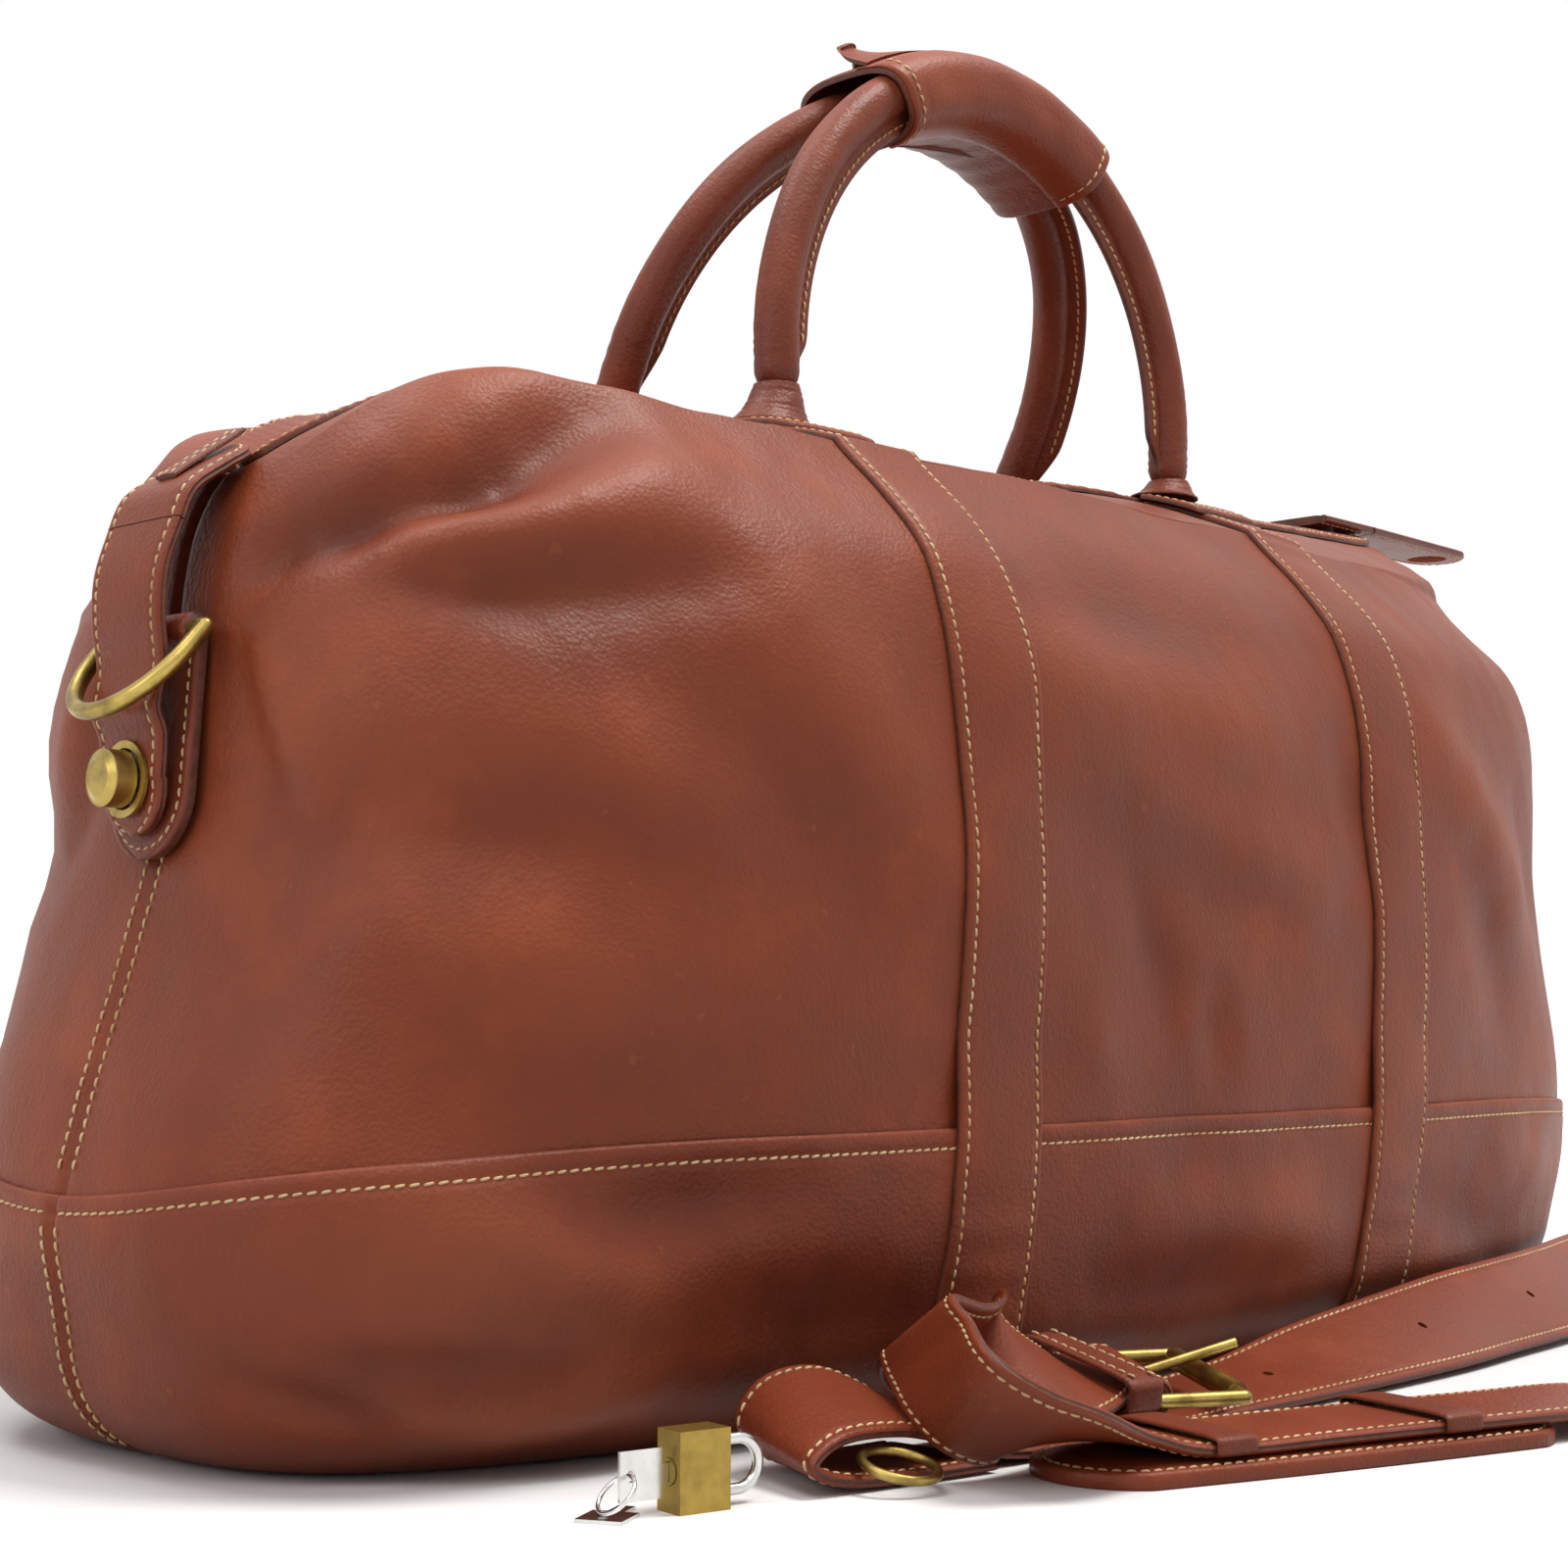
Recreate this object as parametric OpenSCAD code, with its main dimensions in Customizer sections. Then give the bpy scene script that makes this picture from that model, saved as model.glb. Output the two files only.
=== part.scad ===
// Soft leather travel bag with two rolled handles, end straps and a shoulder strap.
// The origin is the centre of the bottom, on the floor. X runs along the bag, the front faces -Y.

/* [Body] */
// Length of the body at the floor, before the bottom edge is rounded
floor_len = 600; // [560:2:640]
// Length at the fullest level
bulge_len = 614; // [570:2:660]
// Length half way up
waist_len = 566; // [530:2:610]
// Length at the shoulder, where the end tabs start
shoulder_len = 554; // [530:2:580]
// Length between the ends of the two top ridges
ridge_len = 508; // [480:2:540]
// Depth at the floor, before the bottom edge is rounded
floor_depth = 216; // [200:2:230]
// Depth at the fullest level
bulge_depth = 237; // [210:2:260]
// Depth half way up
waist_depth = 248; // [220:2:270]
// Depth at the shoulder
shoulder_depth = 224; // [200:2:240]
// Distance between the front and the back top ridge
ridge_depth = 156; // [140:2:180]
// Height of the fullest level
bulge_z = 64; // [50:1:80]
// Height of the waist
waist_z = 150; // [130:1:170]
// Height of the shoulder
shoulder_z = 225; // [205:1:240]
// Height of the top ridges
ridge_z = 266; // [255:1:290]
// How far the ridge sinks at the left end, where the end strap pulls it down
left_sink = 28; // [10:1:36]
// How far the ridge rises at the right end, where the end strap is open
right_rise = 20; // [0:1:26]
// How much further the right end reaches at the ridge than the left one
right_full = 30; // [0:1:34]
// Roundness of the corners seen from above, higher is squarer
corner_power = 3.5; // [2.6:0.1:4.5]
// Radius of the bottom edge
edge_r = 26; // [14:1:30]

/* [Leather] */
// Thickness of the upper panels
panel_t = 2.2; // [1.6:0.1:3]
// Thickness of the base, the bands and the zip facings
trim_t = 1.8; // [1.2:0.1:2.4]
// Thickness of the lining
lining_t = 0.8; // [0.6:0.1:1.2]
// Space between layers that are sewn together
layer_gap = 0.1; // [0.05:0.05:0.3]
// Height of the top edge of the base on the front
seam_z = 77; // [60:1:100]
// How far that edge dips at the two ends
seam_dip = 14; // [0:1:20]
// Distance from the middle of the bag to the middle of each band
band_x = 101.5; // [85:0.5:120]
// Width of each band
band_w = 33; // [28:0.5:40]
// Thickness of the stiffener board in the bottom
board_t = 3; // [2:0.5:5]

/* [Zip] */
// Height of the zip where it starts to bend down at the left
zip_bend_h = 272; // [262:1:285]
// Height of the zip at its right end
zip_right_h = 295; // [285:1:305]
// How far the left end of the zip drops below its straight line
zip_drop = 23; // [10:1:30]
// Distance from the middle of the bag to that bend
zip_bend_x = 190; // [150:2:210]
// Distance from the ridge ends to the ends of the zip
zip_inset = 4; // [2:1:12]
// Gap between the two facings
zip_gap = 12; // [10:0.5:16]
// Width of each facing, as a share of the top from the ridge to the zip
facing_share = 0.4; // [0.3:0.05:0.5]
// Width of each row of teeth
teeth_w = 2.6; // [2:0.1:3.2]
// Thickness of the rows of teeth
teeth_t = 2; // [1.6:0.1:2.6]
// Length of the slider
slider_len = 12; // [10:0.5:15]

/* [Handles] */
// Radius of the round top of each handle, to the middle of the roll
handle_r = 99; // [90:1:105]
// Radius of the rolled handle
roll_r = 6.9; // [6:0.1:8]
// Thickness of the handle leather
roll_t = 1.4; // [1:0.1:2]
// Height of the straight part of each leg
leg_len = 10; // [6:1:14]
// Distance from the zip to each handle's feet
handle_y = 36; // [30:1:42]
// Height of the balls at the feet of the legs
foot_z = 297; // [294:1:302]
// Lean of the back handle towards the front, in degrees
back_lean = 27; // [22:0.5:29]
// How much longer the legs of the back handle show
back_extra = 10; // [4:0.5:12]
// Angle that the handle wrap covers to each side of the top
wrap_angle = 31; // [24:1:34]
// Depth of the space in the wrap
wrap_depth = 41; // [40:0.5:46]
// Height of the space in the wrap
wrap_height = 22; // [20:0.5:26]
// Thickness of the wrap leather
wrap_t = 2; // [1.5:0.1:2.6]

/* [End straps] */
// Width of an end strap at its root
strap_w = 32; // [28:0.5:36]
// Width of an end strap at its tip
strap_tip_w = 27; // [24:0.5:30]
// Thickness of an end strap, two layers
strap_t = 3; // [2:0.2:4]
// Length of the free part of an end strap
strap_free = 78; // [70:1:84]
// Width of the tab behind the strap
tab_w = 38; // [34:0.5:42]
// Thickness of the tab behind the strap
tab_t = 3; // [2.4:0.2:4]
// Height of the lowest point of the tab
tab_low = 146; // [138:1:150]
// Height of the bar of the ring
ring_bar_z = 203; // [196:1:210]
// Radius of the wire of the ring
ring_wire = 2.2; // [1.8:0.1:2.6]
// Inner width of the ring
ring_in = 38; // [36:1:42]
// Straight length of the legs of the ring
ring_leg = 6; // [3:1:10]
// Height of the knob
knob_z = 166; // [162:1:170]
// Radius of the knob
knob_r = 7.2; // [6:0.1:8]
// Thickness of the head of the knob
knob_t = 5.5; // [4:0.5:7]
// Outer radius of the eyelet in the strap
eyelet_r = 9.6; // [9:0.1:10.5]

/* [Shoulder strap] */
// Width of the shoulder strap
sling_w = 38; // [32:0.5:40]
// Thickness of the shoulder strap, two layers
sling_t = 3; // [2.4:0.2:4]
// Width of the shoulder pad
pad_w = 46; // [44:1:52]
// Thickness of the shoulder pad
pad_t = 5; // [4:0.5:7]
// Length of the shoulder pad
pad_len = 154; // [140:2:170]
// Radius of the wire of the buckle
buckle_wire = 2; // [1.6:0.1:2.4]
// Radius of the small holes in the long strap
hole_r = 1.6; // [1.2:0.1:2.2]

/* [Padlock] */
// Height of the padlock body along its shackle
lock_h = 13.5; // [12:0.5:15]
// Width of the padlock body
lock_w = 18; // [16:0.5:20]
// Thickness of the padlock body
lock_t = 9; // [8:0.5:11]
// Radius of the shackle wire
shackle_wire = 1.3; // [1:0.1:1.6]
// Distance from the middle of the lock to each leg of the shackle
shackle_half = 5.6; // [5:0.1:6.4]

/* [Hidden] */
leather = [0.55, 0.27, 0.17];
leather_dark = [0.45, 0.21, 0.14];
leather_inside = [0.3, 0.17, 0.12];
brass = [0.62, 0.52, 0.27];
steel = [0.75, 0.76, 0.78];
running_gap = 0.3;
// Thickness of a layer that is sewn on, with its gap on both sides
sewn = trim_t + 2 * layer_gap;

// Helpers for smooth shapes
function mixed(a, b, t) = a + (b - a) * t;
function eased(t) = t * t * (3 - 2 * t);
function unit(p) = p / norm(p);
function rise(p, i) = i <= 0 ? (p[1][1] - p[0][1]) / (p[1][0] - p[0][0])
    : i >= len(p) - 1 ? (p[i][1] - p[i - 1][1]) / (p[i][0] - p[i - 1][0])
    : (p[i + 1][1] - p[i - 1][1]) / (p[i + 1][0] - p[i - 1][0]);
function span_of(p, z, i = 0) = i >= len(p) - 2 || z < p[i + 1][0] ? i : span_of(p, z, i + 1);
// Smooth curve through stations, each a height and a value, flat past the last one
function curve(p, z) = z >= p[len(p) - 1][0] ? p[len(p) - 1][1] :
    let (i = span_of(p, z), h = p[i + 1][0] - p[i][0], t = max(0, (z - p[i][0]) / h))
    p[i][1] * (2 * t * t * t - 3 * t * t + 1) + rise(p, i) * h * (t * t * t - 2 * t * t + t)
    + p[i + 1][1] * (3 * t * t - 2 * t * t * t) + rise(p, i + 1) * h * (t * t * t - t * t);

// The form of the body
heights = [0, bulge_z, waist_z, shoulder_z, ridge_z];
lengths = [floor_len, bulge_len, waist_len, shoulder_len, ridge_len];
depths = [floor_depth, bulge_depth, waist_depth, shoulder_depth, ridge_depth];
len_line = [for (i = [0:4]) [heights[i], lengths[i] / 2]];
depth_line = [for (i = [0:4]) [heights[i], depths[i] / 2]];
function edge_in(z) = z >= edge_r ? 0 : edge_r - sqrt(edge_r * edge_r - pow(edge_r - z, 2));
function half_len_at(z) = curve(len_line, z) - edge_in(z);
function half_depth_at(z) = curve(depth_line, z) - edge_in(z);

// Around the body, u runs from 0 at the left end by 90 at the front to 180 at the right end
function folded(u) = u < 0 ? -u : u > 180 ? 360 - u : u;
function corner(u) = pow(pow(abs(cos(u)), corner_power) + pow(abs(sin(u)), corner_power), 1 / corner_power);
function near_left(u, wide) = folded(u) < wide ? eased(1 - folded(u) / wide) : 0;
function near_right(u, wide) = near_left(180 - folded(u), wide);
function ridge_at(u) = ridge_z - left_sink * near_left(u, 45) + right_rise * near_right(u, 60);
function seam_at(u) = seam_z - seam_dip * (near_left(u, 60) + near_right(u, 60));
function fuller(u, z) = right_full * near_right(u, 75) * pow(min(1, z / ridge_z), 3);
zip_half = ridge_len / 2 + 10 - zip_inset;
zip_slope = (zip_right_h - zip_bend_h) / (zip_half + zip_bend_x);
function zip_line(x) = zip_bend_h + (x + zip_bend_x) * zip_slope;
function zip_at(x) = zip_line(x)
    - (x < -zip_bend_x ? zip_drop * pow((-zip_bend_x - x) / (zip_half - zip_bend_x), 2) : 0);

// Up the body, v is 0 at the middle of the bottom, 1 at the bottom edge, 2 at the top of the
// base, 3 at the ridge and 4 at the zip
function height_at(u, v) = v <= 1 ? 0
    : v <= 2 ? seam_at(u) * pow(v - 1, 1.6)
    : v <= 3 ? mixed(seam_at(u), ridge_at(u), sin(90 * (v - 2)))
    : mixed(ridge_at(u), zip_at(-zip_half * cos(u) / corner(u)), v - 3) + 3 * sin(180 * (v - 3));
function reach_x(u, v) = v <= 1 ? half_len_at(0)
    : v <= 3 ? half_len_at(height_at(u, v)) + fuller(u, height_at(u, v))
    : mixed(half_len_at(ridge_at(u)) + fuller(u, ridge_z), zip_half, v - 3);
function zip_side(u) = zip_gap / 2 * min(1, abs(sin(u)) * 5) * sign(sin(u));
function out_y(u, v) = v <= 1 ? half_depth_at(0) * v * sin(u) / corner(u)
    : v <= 3 ? half_depth_at(height_at(u, v)) * sin(u) / corner(u)
    : mixed(half_depth_at(ridge_at(u)) * sin(u) / corner(u), zip_side(u), v - 3);
function surf(u, v) = [-reach_x(u, v) * cos(u) / corner(u), -out_y(u, v), sewn + height_at(u, v)];
function outward(u, v) = let (w = min(3.96, v), e = 0.03) v < 1 - e ? [0, 0, -1] :
    unit(cross(surf(u + 1, w) - surf(u - 1, w), surf(u, w + e) - surf(u, w - e)));
function skin_at(u, v, d) = surf(u, v) + outward(u, v) * d;
// The place around the body, u, where a line across the front at x meets level v
function u_of(x, v) = let (q = min(1, abs(x) / reach_x(90, v)), a = atan2(pow(1 - pow(q, corner_power),
    1 / corner_power), q))
    x < 0 ? a : 180 - a;
// Distance from the middle to the outside of an end at height z
function end_x(z) = half_len_at(z - sewn);

function steps(a, b, n) = [for (i = [0:n]) mixed(a, b, i / n)];
// A closed shell between two grids of points with nu by nv cells
module shell(out, in, nu, nv) {
    row = nv + 1;
    count = (nu + 1) * row;
    quads = [
        for (i = [0:nu - 1], j = [0:nv - 1]) [i * row + j, i * row + j + 1, (i + 1) * row + j + 1,
            (i + 1) * row + j],
        for (i = [0:nu - 1], j = [0:nv - 1]) [for (k = [3:-1:0])
            [i * row + j, i * row + j + 1, (i + 1) * row + j + 1, (i + 1) * row + j][k] + count],
        for (i = [0:nu - 1]) [(i + 1) * row, (i + 1) * row + count, i * row + count, i * row],
        for (i = [0:nu - 1]) [i * row + nv, i * row + nv + count, (i + 1) * row + nv + count, (i + 1)
            * row + nv],
        for (j = [0:nv - 1]) [j, j + count, j + 1 + count, j + 1],
        for (j = [0:nv - 1]) [nu * row + j + 1, nu * row + j + 1 + count, nu * row + j + count,
            nu * row + j]];
    faces = [for (q = quads, t = [[0, 1, 2], [0, 2, 3]]) [q[t[0]], q[t[1]], q[t[2]]]];
    polyhedron(points = concat(out, in), faces = faces, convexity = 8);
}
// A piece of leather on the body between distances near and far from its surface
module layer(us, vs, near, far) {
    shell([for (u = us, v = vs) skin_at(u, v, far)], [for (u = us, v = vs) skin_at(u, v, near)],
        len(us) - 1, len(vs) - 1);
}
// A piece of leather that keeps its place along X
module straight_layer(xs, vs, near, far) {
    shell([for (x = xs, v = vs) skin_at(u_of(x, v), v, far)], [for (x = xs, v = vs) skin_at(u_of(x, v),
        v, near)],
        len(xs) - 1, len(vs) - 1);
}
module on_back() { mirror([0, 1, 0]) children(); }

// Body
around = steps(0, 180, 36);
hem_v = 1.93;
panel_rows = [2.12, 2.28, 2.46, 2.64, 2.82, 2.94, 3, 3.2];
base_rows = [1.05, 1.16, 1.28, 1.42, 1.65, hem_v, 2];
facing_v = 4 - facing_share;
module body_panel() {
    color(leather) layer(around, concat([hem_v, 2], panel_rows, [3.45, facing_v, 3.7, 3.85, 4]),
        -panel_t, 0);
}
module front_panel() { body_panel(); }
module back_panel() { on_back() body_panel(); }
module base_half() {
    color(leather_dark) layer(around, concat([0, 0.96], base_rows), 2 * layer_gap, sewn);
}
module base_front() { base_half(); }
module base_back() { on_back() base_half(); }
board_corner = 30;
module base_board() {
    color("saddlebrown") translate([0, 0, sewn - layer_gap])
        linear_extrude(board_t)
            polygon([for (u = steps(0, 350, 35)) [-(floor_len / 2 - board_corner) * cos(u) / corner(u),
                -(floor_depth / 2 - board_corner) * sin(u) / corner(u)]]);
}
lining_out = panel_t + 2;
module lining_half() {
    layer(around, concat([1.65, 2], panel_rows, [3.45, 3.65]), -lining_out - lining_t, -lining_out);
}
module lining() {
    color(leather_inside) lining_half();
    color(leather_inside) on_back() lining_half();
}
module band(x) {
    xs = steps(x - band_w / 2, x + band_w / 2, 4);
    over = sewn + layer_gap;
    low = [for (v = base_rows) if (v > 1.1) v];
    high = concat([2.04], panel_rows, [3.45, facing_v - 0.01]);
    function skin_of(gap) = [for (a = xs) each concat([for (v = low) skin_at(u_of(a, v), v, over + gap)],
        [for (v = high) skin_at(u_of(a, v), v, v < 2.1 ? over + gap : 2 * layer_gap + gap)])];
    color(leather) shell(skin_of(trim_t), skin_of(0), len(xs) - 1, len(low) + len(high) - 1);
}
module front_left_band() { band(-band_x); }
module front_right_band() { band(band_x); }
module back_left_band() { on_back() band(-band_x); }
module back_right_band() { on_back() band(band_x); }

// Zip
module zip_facing() {
    color(leather) layer(steps(5, 175, 34), [facing_v, 3.7, 3.85, 4], 4 * layer_gap, sewn + 2 * layer_gap);
}
module front_zip_facing() { zip_facing(); }
module back_zip_facing() { on_back() zip_facing(); }
slider_x = -zip_bend_x + 2;
open_end_x = slider_x - slider_len / 2 - 2;
// The stops end inside the lining
stop_len = 4;
zip_end_in = lining_out + lining_t + stop_len + running_gap;
zip_x0 = -zip_half + zip_end_in;
zip_x1 = zip_half - zip_end_in;
zip_level = panel_t + 1.1;
post_half = 0.5;
// Distance of the inner edge of each row of teeth from the middle
function spread(x) = x > open_end_x ? post_half
    : mixed(post_half, zip_gap / 2 - teeth_w, eased(min(1, (open_end_x - x) / 20)));
zip_xs = concat(steps(zip_x0, open_end_x - 20, 6), steps(open_end_x - 15, open_end_x, 3),
    steps(open_end_x + 40, zip_x1, 8));
function zip_row(x, y, dz) = [x, -y, sewn + zip_at(x) - zip_level + dz];
module zip_strip(inner, outer, low, high) {
    shell([for (x = zip_xs) each [zip_row(x, spread(x) + outer, high), zip_row(x, spread(x) + inner,
        high)]],
        [for (x = zip_xs) each [zip_row(x, spread(x) + outer, low), zip_row(x, spread(x) + inner, low)]],
        len(zip_xs) - 1, 1);
}
tape_t = 0.7;
tape_w = 7.5;
module front_zip_tape() {
    color("olive") zip_strip(teeth_w + 0.02, tape_w, -tape_t / 2, tape_t / 2);
}
module back_zip_tape() { on_back() front_zip_tape(); }
module front_zip_teeth() {
    color(brass) zip_strip(0, teeth_w, -teeth_t / 2, teeth_t / 2);
}
module back_zip_teeth() { on_back() front_zip_teeth(); }
module at_zip(x) {
    translate([x, 0, sewn + zip_at(x) - zip_level]) rotate([0, -atan(zip_slope), 0]) children();
}
module zip_stops() {
    color(brass) translate([zip_x1 + stop_len / 2 + 0.1, 0, sewn + zip_at(zip_x1) - zip_level])
        cube([stop_len, 2 * teeth_w + 2, teeth_t], center = true);
    color(brass) translate([zip_x0 - stop_len / 2 - 0.1, 0, sewn + zip_at(zip_x0) - zip_level])
        cube([stop_len, zip_gap, teeth_t], center = true);
}
plate_t = 1.4;
slider_w = 2 * teeth_w + 2 * post_half + 2.4;
eye_r = 1.5;
eye_h = plate_t + teeth_t / 2 + running_gap + 2.6;
module zip_slider() {
    color(brass) at_zip(slider_x) difference() {
        union() {
            for (s = [-1, 1]) translate([0, 0, s * (teeth_t / 2 + running_gap + plate_t / 2)])
                cube([slider_len, slider_w, plate_t], center = true);
            translate([-slider_len / 4, 0, 0])
                cube([slider_len / 3, 2 * post_half - 0.2, teeth_t + 2 * plate_t], center = true);
            translate([0, 0, eye_h - 1.2]) cube([5.2, 3.4, 5], center = true);
        }
        translate([0, 0, eye_h]) rotate([90, 0, 0]) cylinder(r = eye_r, h = 10, center = true, $fn = 24);
    }
}
puller_len = 26;
puller_w = 7;
module zip_puller() {
    color(brass) at_zip(slider_x) translate([0, 0, eye_h]) {
        rotate([90, 0, 0]) cylinder(r = eye_r - 0.08, h = 6.4, center = true, $fn = 24);
        for (s = [-1, 1]) translate([2.4, s * 2.7, 0]) cube([7.2, 1, 1.6], center = true);
        translate([6 + puller_len / 2 - 1, 0, 0]) difference() {
            cube([puller_len, puller_w, 1.6], center = true);
            translate([puller_len / 2 - 5, 0, 0]) cylinder(r = 1.8, h = 5, center = true, $fn = 24);
        }
    }
}

// Handles
foot_v = 3 + (half_depth_at(ridge_z) - handle_y) / (half_depth_at(ridge_z) - zip_gap / 2);
module foot(x) {
    lift = sewn + layer_gap;
    low = surf(u_of(x, foot_v), foot_v)[2] + lift + 1.9;
    translate([x, -handle_y, low]) cylinder(r = roll_r + 1.6, h = foot_z - roll_r - running_gap - low,
        $fn = 48);
    straight_layer(steps(x - band_w / 2 - 1, x + band_w / 2 + 1, 4), [3.25, 3.45, facing_v - 0.02], lift,
        lift + trim_t);
}
module handle_feet() {
    for (x = [-handle_r, handle_r]) {
        color(leather_dark) foot(x);
        color(leather_dark) on_back() foot(x);
    }
}
module arch(r_out, r_in, leg) {
    for (s = [-1, 1]) {
        translate([s * handle_r, 0, 0]) difference() {
            union() {
                cylinder(r = r_out, h = leg, $fn = 48);
                if (r_in > 0) sphere(r = r_out, $fn = 48);
            }
            if (r_in > 0) cylinder(r = r_in, h = leg + 1, $fn = 48);
        }
    }
    translate([0, 0, leg]) rotate([90, 0, 0]) rotate_extrude(angle = 180, $fn = 96) translate([handle_r, 0])
        difference() {
            circle(r = r_out, $fn = 48);
            if (r_in > 0) circle(r = r_in, $fn = 48);
        }
}
module in_front_plane() { translate([0, -handle_y, foot_z]) children(); }
module in_back_plane() { translate([0, handle_y, foot_z]) rotate([back_lean, 0, 0]) children(); }
core_r = roll_r - roll_t;
module front_handle() { color(leather) in_front_plane() arch(roll_r, core_r, leg_len); }
module front_handle_core() { color("tan") in_front_plane() translate([0, 0, 0.2]) arch(core_r - 0.1, 0,
    leg_len - 0.2); }
module back_handle() { color(leather) in_back_plane() arch(roll_r, core_r, leg_len + back_extra); }
module back_handle_core() { color("tan") in_back_plane() translate([0, 0, 0.2]) arch(core_r - 0.1, 0,
    leg_len + back_extra - 0.2); }
wrap_mid_y = -handle_y - roll_r - 0.8 + wrap_depth / 2;
wrap_mid_r = handle_r - 2;
module wrap_ring(low_y, high_y, low_r, high_r, angle) {
    translate([0, 0, foot_z + leg_len]) rotate([90, 0, 0]) rotate([0, 0, 90 - angle])
        rotate_extrude(angle = 2 * angle, $fn = 96)
            translate([low_r, -high_y]) square([high_r - low_r, high_y - low_y]);
}
module handle_wrap() {
    in_y = [wrap_mid_y - wrap_depth / 2, wrap_mid_y + wrap_depth / 2];
    in_r = [wrap_mid_r - wrap_height / 2, wrap_mid_r + wrap_height / 2];
    color(leather) difference() {
        wrap_ring(in_y[0] - wrap_t, in_y[1] + wrap_t, in_r[0] - wrap_t, in_r[1] + wrap_t, wrap_angle);
        wrap_ring(in_y[0], in_y[1], in_r[0], in_r[1], wrap_angle + 2);
    }
}
module wrap_flap() {
    top = wrap_mid_r + wrap_height / 2 + wrap_t + running_gap;
    color(leather) wrap_ring(wrap_mid_y - wrap_depth / 2 - 2, wrap_mid_y + wrap_depth / 2 + wrap_t, top,
        top + wrap_t, wrap_angle - 1);
}

// End straps, tabs, rings and knobs. s is -1 at the left end and 1 at the right end
seat_gap = 0.9;
loop_r = ring_wire + running_gap + 1.6;
function end_of(z, full) = end_x(z) + full * pow(min(1, (z - sewn) / ridge_z), 3);
function lean_of(full) = atan((end_of(tab_low, full) - end_of(ring_bar_z, full)) / (ring_bar_z - tab_low));
function bar_of(full) = end_of(ring_bar_z, full) + loop_r + seat_gap;
function tab_face(full) = bar_of(full) + (tab_t - loop_r) / cos(lean_of(full)) + (ring_bar_z - knob_z)
    * tan(lean_of(full));
function post_base(full) = tab_face(full) + (knob_r - 1.5) * abs(tan(lean_of(full))) + layer_gap;
function strap_face(full) = post_base(full) + 2.5;
module end_tab(full) {
    low = tab_low + tab_w / 2;
    translate([bar_of(full), 0, ring_bar_z]) difference() {
        union() {
            rotate([90, 0, 0]) cylinder(r = loop_r, h = ring_in - 4, center = true, $fn = 48);
            rotate([0, -lean_of(full), 0]) translate([-loop_r, 0, low - ring_bar_z]) {
                translate([0, -tab_w / 2 + 2, 0]) cube([tab_t, tab_w - 4, ring_bar_z - low]);
                rotate([0, 90, 0]) cylinder(r = tab_w / 2 - 2, h = tab_t, $fn = 64);
            }
        }
        rotate([90, 0, 0]) cylinder(r = ring_wire + 0.08, h = ring_in + 20, center = true, $fn = 48);
    }
}
module left_tab() { color(leather_dark) mirror([1, 0, 0]) end_tab(0); }
module right_tab() { color(leather_dark) end_tab(right_full); }
// The ring lies in the plane x = 0 with its bar on the Y axis and its bow below
ring_half = ring_in / 2 + ring_wire;
module ring() {
    rotate([90, 0, 0]) cylinder(r = ring_wire, h = 2 * ring_half, center = true, $fn = 32);
    for (s = [-1, 1]) {
        translate([0, s * ring_half, 0]) sphere(r = ring_wire, $fn = 32);
        translate([0, s * ring_half, -ring_leg]) cylinder(r = ring_wire, h = ring_leg, $fn = 32);
    }
    translate([0, 0, -ring_leg]) rotate([0, 90, 0]) rotate([0, 0, -90]) rotate_extrude(angle = 180,
        $fn = 96)
        translate([ring_half, 0]) circle(r = ring_wire, $fn = 32);
}
ring_tilt = 40;
module left_d_ring() {
    color(brass) translate([-bar_of(0), 0, ring_bar_z]) rotate([0, ring_tilt, 0]) ring();
}
module right_d_ring() {
    color(brass) translate([bar_of(right_full), 0, ring_bar_z]) rotate([0, -8, 0]) ring();
}
post_r = 3;
module post_of_knob(full) {
    translate([post_base(full), 0, knob_z]) rotate([0, 90, 0]) {
        cylinder(r = post_r, h = 11, $fn = 32);
        cylinder(r = knob_r - 1.5, h = 1, $fn = 48);
    }
}
module left_knob_post() { color(brass) mirror([1, 0, 0]) post_of_knob(0); }
module right_knob_post() { color(brass) post_of_knob(right_full); }
module pull_knob(full) {
    translate([strap_face(full) + strap_t + 1.6, 0, knob_z]) rotate([0, 90, 0]) difference() {
        union() {
            cylinder(r = knob_r, h = knob_t, $fn = 48);
            translate([0, 0, -2.5]) cylinder(r = post_r + 1.4, h = 3, $fn = 48);
            translate([0, 0, knob_t]) cylinder(r1 = knob_r - 0.6, r2 = knob_r - 2.6, h = 1.2, $fn = 48);
        }
        translate([0, 0, -3]) cylinder(r = post_r + 0.08, h = knob_t + 1.5, $fn = 32);
    }
}
module left_knob() { color(brass) mirror([1, 0, 0]) pull_knob(0); }
module right_knob() { color(brass) pull_knob(right_full); }

// A strap of leather along a route, each point an [x, z] at mid thickness, with a width at each
module strap_side(points, widths, t) {
    n = len(points) - 1;
    dirs = [for (i = [0:n]) unit(points[min(n, i + 1)] - points[max(0, i - 1)])];
    out = [for (i = [0:n]) points[i] + [dirs[i][1], -dirs[i][0]] * t / 2];
    in = [for (i = [0:n]) points[i] - [dirs[i][1], -dirs[i][0]] * t / 2];
    shell([for (i = [0:n]) each [[in[i][0], -widths[i] / 2, in[i][1]], [in[i][0], widths[i] / 2,
        in[i][1]]]],
        [for (i = [0:n]) each [[out[i][0], -widths[i] / 2, out[i][1]], [out[i][0], widths[i] / 2,
            out[i][1]]]], n, 1);
}
bend_x = end_x(shoulder_z) + 12;
bend_z = shoulder_z + 5;
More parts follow.
